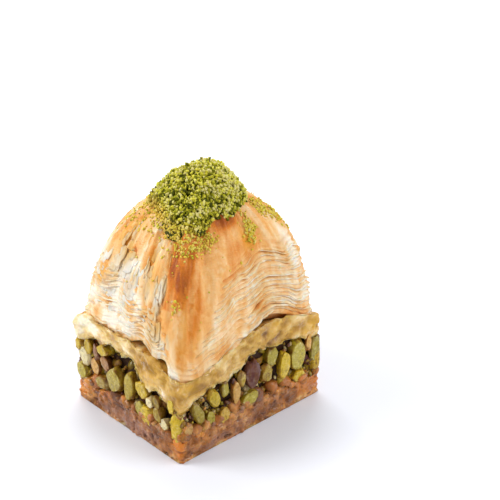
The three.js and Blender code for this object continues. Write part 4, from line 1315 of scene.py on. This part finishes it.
def crumbs_on_dome():
    """Places of the loose crumbs, in mm."""
    places = []
    for c, z, wide, tall, count in CRUMB_PATCHES:
        for _ in range(count):
            place, normal = on_dome(draw.normal(c, wide) % SIDES, draw.normal(z, tall))
            if place is not None:
                places.append(place + normal * 0.1)
    return np.array(places)


crumb_places = crumbs_on_dome()
crumb_count = len(crumb_places)
crumb_sizes = draw.uniform(0.12, 0.36, crumb_count)
crumbs = joined("loose_crumbs", grain_copies(round_grain, crumb_places, crumb_sizes, draw), grain_faces)
paint_each(crumbs, "shade", draw.uniform(0.45, 1.0, crumb_count))
paint_each(crumbs, "oiled", draw.uniform(0.1, 0.8, crumb_count))
settle(crumbs, "ground_pistachio")

# %% [markdown]
# ## Finishes
# All finishes are Principled shaders, mixed from procedural nodes alone. Written out node by node
# they would fill pages, so a few helpers add a node, fill or link its sockets and hand back its
# output. A step of a finish is then one line.

# %% Node helpers
def srgb(red, green, blue):
    """A colour as picked on screen, 0 to 255, turned into the linear values that shaders use."""
    parts = [v / 255 for v in (red, green, blue)]
    return tuple(v / 12.92 if v <= 0.04045 else ((v + 0.055) / 1.055) ** 2.4 for v in parts) + (1.0,)


def add(tree, kind, inputs=None, **settings):
    """Adds a node, sets its settings, and fills or links its inputs, by name or number."""
    node = tree.nodes.new(kind)
    for name, value in settings.items():
        setattr(node, name, value)
    for key, value in (inputs or {}).items():
        if isinstance(value, bpy.types.NodeSocket):
            tree.links.new(value, node.inputs[key])
        else:
            node.inputs[key].default_value = value
    return node


def mixed(tree, factor, a, b):
    """The colour output of a Mix node."""
    return add(tree, "ShaderNodeMix", {0: factor, 6: a, 7: b}, data_type="RGBA").outputs[2]


def ramp(tree, factor, *stops):
    """The colour output of a ramp: each stop is (position, (red, green, blue))."""
    node = add(tree, "ShaderNodeValToRGB", {0: factor})
    elements = node.color_ramp.elements
    while len(elements) < len(stops):
        elements.new(0.5)
    for element, (position, colour) in zip(elements, stops):
        element.position = position
        element.color = srgb(*colour)
    return node.outputs[0]


def maths(tree, operation, a, b=0.0, c=0.0):
    return add(tree, "ShaderNodeMath", {0: a, 1: b, 2: c}, operation=operation).outputs[0]


def mapped(tree, value, low, high, to_low=0.0, to_high=1.0):
    """The value carried from one range to another and held inside it."""
    return add(tree, "ShaderNodeMapRange", {0: value, 1: low, 2: high, 3: to_low, 4: to_high}).outputs[0]


def noise(tree, where, scale, detail, roughness):
    values = {"Vector": where, "Scale": scale, "Detail": detail, "Roughness": roughness}
    return add(tree, "ShaderNodeTexNoise", values).outputs["Fac"]


def place_of(tree, stretch=(1, 1, 1)):
    """Object coordinates, squeezed or stretched along each axis."""
    where = add(tree, "ShaderNodeTexCoord").outputs["Object"]
    return add(tree, "ShaderNodeMapping", {"Vector": where, "Scale": stretch}).outputs[0]


def attribute(tree, name):
    return add(tree, "ShaderNodeAttribute", attribute_name=name).outputs["Fac"]


print("node helpers are ready; a mid grey of 128 is", round(srgb(128, 128, 128)[0], 3), "in a shader")

# %% [markdown]
# What several finishes need is built once as a node group, with named sockets. A finish starts as a
# material with a Principled shader whose constant sockets are already set.

# %% Group and finish helpers
def new_group(name, inputs, outputs):
    """A node group with named sockets: inputs map a name to (type, default), outputs to a type."""
    tree = bpy.data.node_groups.new(name, "ShaderNodeTree")
    for label, (kind, value) in inputs.items():
        socket = tree.interface.new_socket(label, in_out="INPUT", socket_type=kind)
        socket.default_value = value
    for label, kind in outputs.items():
        tree.interface.new_socket(label, in_out="OUTPUT", socket_type=kind)
    return tree, tree.nodes.new("NodeGroupInput").outputs, tree.nodes.new("NodeGroupOutput").inputs


def use_group(tree, group, inputs=None):
    return add(tree, "ShaderNodeGroup", inputs, node_tree=group).outputs


def finish_of(name, subsurface=0.0, radius=(1.0, 0.5, 0.25), coat_roughness=0.15, specular=0.2):
    """A material with an empty Principled shader, whose constant sockets are set here."""
    material = bpy.data.materials.new(name)
    material.use_nodes = True
    shader = material.node_tree.nodes["Principled BSDF"]
    shader.inputs["Subsurface Weight"].default_value = subsurface
    shader.inputs["Subsurface Radius"].default_value = radius
    shader.inputs["Subsurface Scale"].default_value = 1.2 * MM
    shader.inputs["Coat Roughness"].default_value = coat_roughness
    shader.inputs["Specular IOR Level"].default_value = specular
    return material, material.node_tree, shader


print("group and finish helpers are ready")

# %% [markdown]
# Dough goes from nearly white through cream and orange to brown as it bakes. The group takes one
# number, how toasted a place is, and mixes from each colour to the next between two amounts of it.
# A colour ramp would do inside one material, but a group can be used by several.

# %% Toasted dough group
FLOAT, COLOUR = "NodeSocketFloat", "NodeSocketColor"
TOAST_STEPS = (  # name, toast at which it is reached, colour
    ("White", -0.25, (254, 243, 222)), ("Pale", 0.0, (247, 216, 168)), ("Golden", 0.32, (236, 178, 106)),
    ("Orange", 0.7, (216, 126, 36)), ("Brown", 1.1, (164, 80, 20)),
)

toast_group, given, result = new_group(
    "toasted_dough",
    {"Toast": (FLOAT, 0.3), **{name: (COLOUR, srgb(*colour)) for name, _, colour in TOAST_STEPS}},
    {"Color": COLOUR},
)
colour = given["White"]
for (_, low, _), (name, high, _) in zip(TOAST_STEPS, TOAST_STEPS[1:]):
    colour = mixed(toast_group, mapped(toast_group, given["Toast"], low, high), colour, given[name])
toast_group.links.new(colour, result["Color"])
print("toasted_dough mixes", len(TOAST_STEPS), "colours")

# %% [markdown]
# Under a lens all dough has a fine grain, partly drawn out into streaks. Soaked dough and nuts also
# carry syrup, which gathers in small pools: there the surface is smooth and has a clear coat, and
# between the pools it stays as rough as it is when dry.

# %% Grain and syrup groups
WET_ROUGHNESS = 0.22
POOL_RANGE = (0.42, 0.6)  # noise below the first is dry, above the second it is a pool

grain_group, given, result = new_group(
    "dough_grain", {"Size": (FLOAT, 900.0), "Streak": (FLOAT, 0.3)}, {"Height": FLOAT}
)
where = add(grain_group, "ShaderNodeTexCoord").outputs["Object"]
speckle = noise(grain_group, where, given["Size"], 5.0, 0.6)
long_where = add(grain_group, "ShaderNodeMapping", {"Vector": where, "Scale": (1, 1, 0.2)}).outputs[0]
streak = noise(grain_group, long_where, given["Size"], 3.0, 0.5)
height = add(grain_group, "ShaderNodeMix", {0: given["Streak"], 2: speckle, 3: streak}).outputs[0]
grain_group.links.new(height, result["Height"])

syrup_group, given, result = new_group(
    "syrup",
    {"Wetness": (FLOAT, 0.5), "Dry": (FLOAT, 0.6), "Size": (FLOAT, 350.0)},
    {"Roughness": FLOAT, "Coat": FLOAT},
)
pools = noise(syrup_group, add(syrup_group, "ShaderNodeTexCoord").outputs["Object"], given["Size"], 3.0, 0.5)
wet = maths(syrup_group, "MULTIPLY", mapped(syrup_group, pools, *POOL_RANGE), given["Wetness"])
rough = add(syrup_group, "ShaderNodeMix", {0: wet, 2: given["Dry"], 3: WET_ROUGHNESS}).outputs[0]
syrup_group.links.new(rough, result["Roughness"])
syrup_group.links.new(wet, result["Coat"])
print("groups:", [g.name for g in bpy.data.node_groups])

# %% [markdown]
# Every dough and nut surface is dressed the same way: a colour, a bump for what is too fine to model,
# and syrup. Only the values differ, so one function links all three.

# %% Dressing a surface
def dress(material, pieces, colour, height, strength, wetness, dry, size, distance=0.25):
    """Links a colour, a bump of that strength and the syrup to the shader, and gives it to the pieces.

    distance is the bump's depth in mm, dry the roughness between pools, and size their noise's scale.
    """
    tree = material.node_tree
    shader = tree.nodes["Principled BSDF"]
    tree.links.new(colour, shader.inputs["Base Color"])
    bump = add(tree, "ShaderNodeBump", {"Height": height, "Strength": strength, "Distance": distance * MM})
    tree.links.new(bump.outputs[0], shader.inputs["Normal"])
    syrup = use_group(tree, syrup_group, {"Wetness": wetness, "Dry": dry, "Size": size})
    tree.links.new(syrup["Roughness"], shader.inputs["Roughness"])
    tree.links.new(syrup["Coat"], shader.inputs["Coat Weight"])
    for piece in pieces:
        piece.data.materials.append(material)


def leaf_grain(tree, lines, depth, size, streak):
    """Bump height from the dough's grain and from `lines` fine lines to each leaf."""
    line = maths(tree, "SINE", maths(tree, "MULTIPLY", attribute(tree, "leaf"), 2 * math.pi * lines))
    grain = use_group(tree, grain_group, {"Size": size, "Streak": streak})["Height"]
    return maths(tree, "MULTIPLY_ADD", line, depth, grain)


print("surfaces can be dressed")

# %% [markdown]
# ## Dry dough
# The dome's leaves are dry, with a little butter on them. The stored toasting, with painted shade and
# highlights in a few spots, sets their colour, with fine streaks added to it. The gaps between leaves
# and the underside of the lip are painted browner as shade, and some places are yellower.

# %% Dry dough finish
# The gap brown is painted shade, mixed in where the gaps are deep and under the lip.
GAP_SHADE_BROWN, OCHRE = srgb(190, 116, 50), srgb(236, 166, 50)
BUTTER = 0.12  # gloss of the whole dome, to which the glossy places add

dough, tree, _ = finish_of("dry_dough", subsurface=0.3, radius=(1.0, 0.55, 0.3))
fine_toast = noise(tree, place_of(tree, (1, 1, 0.3)), 800.0, 5.0, 0.65)
# The stored browning holds painted shade and highlights in a few spots.
toast = maths(tree, "MULTIPLY_ADD", maths(tree, "SUBTRACT", fine_toast, 0.5), 0.7, attribute(tree, "toast"))
colour = use_group(tree, toast_group, {"Toast": toast})["Color"]
# Painted shade in the gaps and under the lip:
colour = mixed(tree, maths(tree, "MULTIPLY", attribute(tree, "gap"), 0.2), colour, GAP_SHADE_BROWN)
colour = mixed(tree, mapped(tree, attribute(tree, "ochre"), 0.05, 1.0, 0, 0.7), colour, OCHRE)
gloss = maths(tree, "ADD", attribute(tree, "gloss"), BUTTER)
height = leaf_grain(tree, lines=3.0, depth=0.1, size=1500.0, streak=0.4)
dressed = dome, leaf_rings, skin_flakes
dress(dough, dressed, colour, height, strength=0.6, wetness=gloss, dry=0.5, size=420.0)
print(dough.name, "has", len(tree.nodes), "nodes")

# %% [markdown]
# ## Soaked dough
# The leaves over the filling are full of syrup, so light runs deep into them and they shine. Clouds
# of noise shift the stored tone a little, which holds painted shade in the folds and under the dome's
# lip, a ramp turns it from brown to cream, and the golden places get their own colour.

# %% Soaked dough finish
GOLD = srgb(220, 170, 56)

wet_dough, tree, _ = finish_of("soaked_dough", subsurface=0.45, radius=(1.0, 0.7, 0.25), coat_roughness=0.1)
cloud = maths(tree, "SUBTRACT", noise(tree, place_of(tree), 330.0, 6.0, 0.65), 0.5)
# The stored tone holds painted shade in the folds and under the dome's lip.
tone_and_shade = maths(tree, "MULTIPLY_ADD", cloud, 1.1, attribute(tree, "tone_and_shade"))
colour = ramp(tree, tone_and_shade, (0.0, (118, 76, 20)), (0.22, (172, 126, 46)), (0.46, (208, 166, 84)),
              (0.7, (232, 204, 142)), (0.95, (254, 240, 210)))
colour = mixed(tree, mapped(tree, attribute(tree, "gold"), 0.05, 1.0, 0, 0.65), colour, GOLD)
height = leaf_grain(tree, lines=2.0, depth=0.05, size=900.0, streak=0.1)
dress(wet_dough, (soaked,), colour, height, strength=0.5, wetness=0.8, dry=0.42, size=300.0, distance=0.3)
print(wet_dough.name, "has", len(tree.nodes), "nodes")

# %% [markdown]
# ## The base
# The base is the same dough, darker and crumblier. Its colour goes by a cloud of noise, made lighter
# or darker by the stored places, with painted light along its foot and painted shade in its dips.
# Warm places turn orange, cool ones a greyish brown, and the small holes and dips are painted dark
# inside as shade.

# %% Base finish
WARM_ORANGE, COOL_BROWN, HOLE_SHADE_BROWN = srgb(228, 136, 44), srgb(160, 120, 106), srgb(84, 42, 18)

base_dough, tree, _ = finish_of("base_dough", subsurface=0.4, radius=(1.0, 0.45, 0.2), coat_roughness=0.12)
cloud = noise(tree, place_of(tree, (1, 1, 0.7)), 300.0, 6.0, 0.66)
# The stored light holds painted light along the foot and painted shade in the dips.
cloud = maths(tree, "MULTIPLY_ADD", attribute(tree, "light"), 0.15, cloud)
colour = ramp(tree, cloud, (0.28, (92, 46, 14)), (0.42, (138, 84, 36)), (0.54, (170, 108, 52)),
              (0.66, (206, 146, 78)), (0.78, (240, 200, 136)))
warm = attribute(tree, "warm")
colour = mixed(tree, mapped(tree, warm, 0.15, 1.1, 0, 0.75), colour, WARM_ORANGE)
colour = mixed(tree, mapped(tree, warm, -0.15, -1.1, 0, 0.7), colour, COOL_BROWN)
# Painted shade inside the holes and dips:
colour = mixed(tree, maths(tree, "MULTIPLY", attribute(tree, "hole_shade"), 0.35), colour, HOLE_SHADE_BROWN)
height = leaf_grain(tree, lines=1.0, depth=0.03, size=900.0, streak=0.1)
dressed = base, lumps
dress(base_dough, dressed, colour, height, strength=0.9, wetness=0.8, dry=0.45, size=700.0, distance=0.3)
print(base_dough.name, "has", len(tree.nodes), "nodes")

# %% [markdown]
# ## Kernels
# A kernel has a thin, streaky husk over its paler flesh, which shows where it was cut. Two ramps give
# both colours for each kind. Painted highlights, dark flecks and brown stains of syrup go over them,
# and the stored tint makes some kernels darker than others: its own tone, and painted shade for the
# pieces that lie further in.

# %% Kernel finish
HUSK_BROWN, PAINTED_HIGHLIGHT = srgb(116, 70, 30), srgb(248, 236, 170)
FLECK_BROWN, STAIN_BROWN, SHADE_BROWN = srgb(70, 36, 20), srgb(110, 52, 26), srgb(60, 34, 8)
BODY = ((160, 118, 20), (176, 154, 26), (226, 186, 34), (216, 146, 64), (94, 44, 44), (232, 208, 140))
FLESH = ((168, 142, 48), (184, 168, 64), (206, 176, 48), (216, 168, 84), (150, 104, 84), (240, 226, 176))
RAMP_KINDS = (OLIVE, GREEN, YELLOW, TAN, PURPLE, PALE)  # the other kinds are mixtures of their neighbours

kernel_finish, tree, _ = finish_of("pistachio_kernel", 0.3, radius=(1.0, 0.9, 0.2), coat_roughness=0.12)
kind, cut = attribute(tree, "kind"), attribute(tree, "cut")
body = ramp(tree, kind, *zip(RAMP_KINDS, BODY))
flesh = ramp(tree, kind, *zip(RAMP_KINDS, FLESH))
streaks = noise(tree, place_of(tree, (1, 1, 0.4)), 1100.0, 5.0, 0.7)
patches = noise(tree, place_of(tree), 1500.0, 5.0, 0.7)
husk = mapped(tree, maths(tree, "SUBTRACT", streaks, maths(tree, "MULTIPLY", cut, 0.2)), 0.4, 0.58)
colour = mixed(tree, maths(tree, "MULTIPLY", husk, 0.7), body, HUSK_BROWN)
colour = mixed(tree, maths(tree, "MULTIPLY", cut, 0.85), colour, flesh)
# Painted highlights on the cut flesh, in patches of noise.
painted_highlight_mask = maths(tree, "MULTIPLY", mapped(tree, patches, 0.54, 0.68, 0, 0.5), mapped(tree, cut, 0, 0.6, 0.25, 1))
colour = mixed(tree, painted_highlight_mask, colour, PAINTED_HIGHLIGHT)
colour = mixed(tree, mapped(tree, patches, 0.48, 0.34, 0, 0.6), colour, FLECK_BROWN)
stain = mapped(tree, noise(tree, place_of(tree), 420.0, 3.0, 0.6), 0.54, 0.68, 0, 0.6)
stain = maths(tree, "MULTIPLY", stain, mapped(tree, cut, 0.5, 1, 1, 0.3))
colour = mixed(tree, stain, colour, STAIN_BROWN)
# The stored tint darkens kernels by their own tone, and the deeper pieces by painted shade.
colour = mixed(tree, mapped(tree, attribute(tree, "tint_and_depth_shade"), -1, 0.6, 0.4, 0), colour, SHADE_BROWN)
height = use_group(tree, grain_group, {"Size": 1100.0, "Streak": 0.6})["Height"]
dress(kernel_finish, filling_pieces, colour, height, strength=0.9, wetness=0.6, dry=0.55, size=900.0)
print(kernel_finish.name, "has", len(tree.nodes), "nodes")

# %% [markdown]
# ## Nut paste
# The core between the kernels is nut paste dark with syrup, and it lies in shadow; its browns are
# darker still, as painted shade of the gaps. A cloudy mix of three dark browns is all that it needs,
# and the same clouds serve as its bump.

# %% Nut paste finish
paste_finish, tree, _ = finish_of("nut_paste", coat_roughness=0.2)
cloud = noise(tree, place_of(tree), 500.0, 5.0, 0.6)
# Very dark browns: the paste's colour darkened as painted shade of the gaps between kernels.
colour = ramp(tree, cloud, (0.3, (30, 14, 8)), (0.55, (62, 34, 14)), (0.75, (110, 72, 28)))
dress(paste_finish, (core,), colour, cloud, strength=0.6, wetness=0.15, dry=0.7, size=500.0)
print(paste_finish.name, "has", len(tree.nodes), "nodes")

# %% [markdown]
# ## Ground pistachio
# Ground pistachio is dry and matt. Each grain stores a shade, its own tone with painted shade and
# light added, which a ramp turns from dark green through yellow green to the cream of bare nut. The
# core under the grains is painted dark green, as the shade in the pits between them.

# %% Ground pistachio finish
DEEP_GREEN, OILED_YELLOW = srgb(118, 120, 8), srgb(234, 192, 80)

ground_finish, tree, shader = finish_of("ground_pistachio", 0.15, radius=(0.6, 1.0, 0.2), specular=0.1)
colour = ramp(tree, attribute(tree, "shade"), (0.0, (44, 46, 4)), (0.25, (104, 102, 12)),
              (0.47, (168, 162, 34)), (0.67, (222, 212, 60)), (0.88, (244, 234, 106)), (1.0, (232, 220, 150)))
cloud = noise(tree, place_of(tree), 1400.0, 3.0, 0.6)
colour = mixed(tree, maths(tree, "MULTIPLY", cloud, 0.4), colour, DEEP_GREEN)
colour = mixed(tree, attribute(tree, "oiled"), colour, OILED_YELLOW)
tree.links.new(colour, shader.inputs["Base Color"])
shader.inputs["Roughness"].default_value = 0.6
for piece in (grains, crumbs):
    piece.data.materials.append(ground_finish)

# The core under the grains is painted dark green, as shade in the pits between them.
heap_shade_finish, tree, shader = finish_of("heap_shadow")
cloud = noise(tree, place_of(tree), 1200.0, 4.0, 0.6)
tree.links.new(ramp(tree, cloud, (0.3, (34, 36, 6)), (0.7, (96, 98, 20))), shader.inputs["Base Color"])
shader.inputs["Roughness"].default_value = 0.8
heap.data.materials.append(heap_shade_finish)
print("finishes:", [m.name for m in bpy.data.materials])

# %% [markdown]
# ## Floor
# The piece stands on a plain, very slightly bluish white surface. It lies a tenth of a millimetre
# below the base, so that the two never share a plane.

# %% Floor
FLOOR_SIZE, FLOOR_DROP = 3.0, 0.0001

bm = bmesh.new()
bmesh.ops.create_grid(bm, x_segments=1, y_segments=1, size=FLOOR_SIZE / 2)
floor = to_object(bm, "floor")
floor.location.z = -FLOOR_DROP
floor_finish, tree, shader = finish_of("floor_white")
shader.inputs["Base Color"].default_value = srgb(238, 241, 250)
shader.inputs["Roughness"].default_value = 0.6
floor.data.materials.append(floor_finish)
print("the floor is", FLOOR_SIZE, "m wide")

# %% [markdown]
# ## Light
# The light is that of a bright, soft studio. A large lamp behind on the left gives the left face its
# brightness and the floor its soft shadow, a second one behind on the right edges the dome, and one
# in front and the pale world fill the rest.

# %% Light
WORLD_COLOUR, WORLD_STRENGTH = (0.95, 0.97, 1.0, 1.0), 0.5


def soft_light(name, place, size, power, colour=(1, 1, 1)):
    """A square area light that looks at the middle of the piece."""
    lamp = bpy.data.lights.new(name, "AREA")
    lamp.size = size
    lamp.energy = power
    lamp.color = colour
    light = bpy.data.objects.new(name, lamp)
    light.location = place
    light.rotation_mode = "QUATERNION"
    light.rotation_quaternion = (PIECE_MIDDLE - Vector(place)).to_track_quat("-Z", "Y")
    bpy.context.collection.objects.link(light)


soft_light("key", (-0.30, 0.30, 0.36), size=0.3, power=2.0, colour=(1.0, 0.98, 0.95))
soft_light("back", (0.28, 0.34, 0.42), size=0.4, power=2.0)
soft_light("front_fill", (0.26, -0.45, 0.42), size=0.5, power=2.3)
world = bpy.data.worlds.new("studio")
world.use_nodes = True
background = world.node_tree.nodes["Background"]
background.inputs["Color"].default_value = WORLD_COLOUR
background.inputs["Strength"].default_value = WORLD_STRENGTH
bpy.context.scene.world = world
bpy.context.scene.view_settings.view_transform = "Standard"
print("lamps:", [lamp.name for lamp in bpy.data.lights])
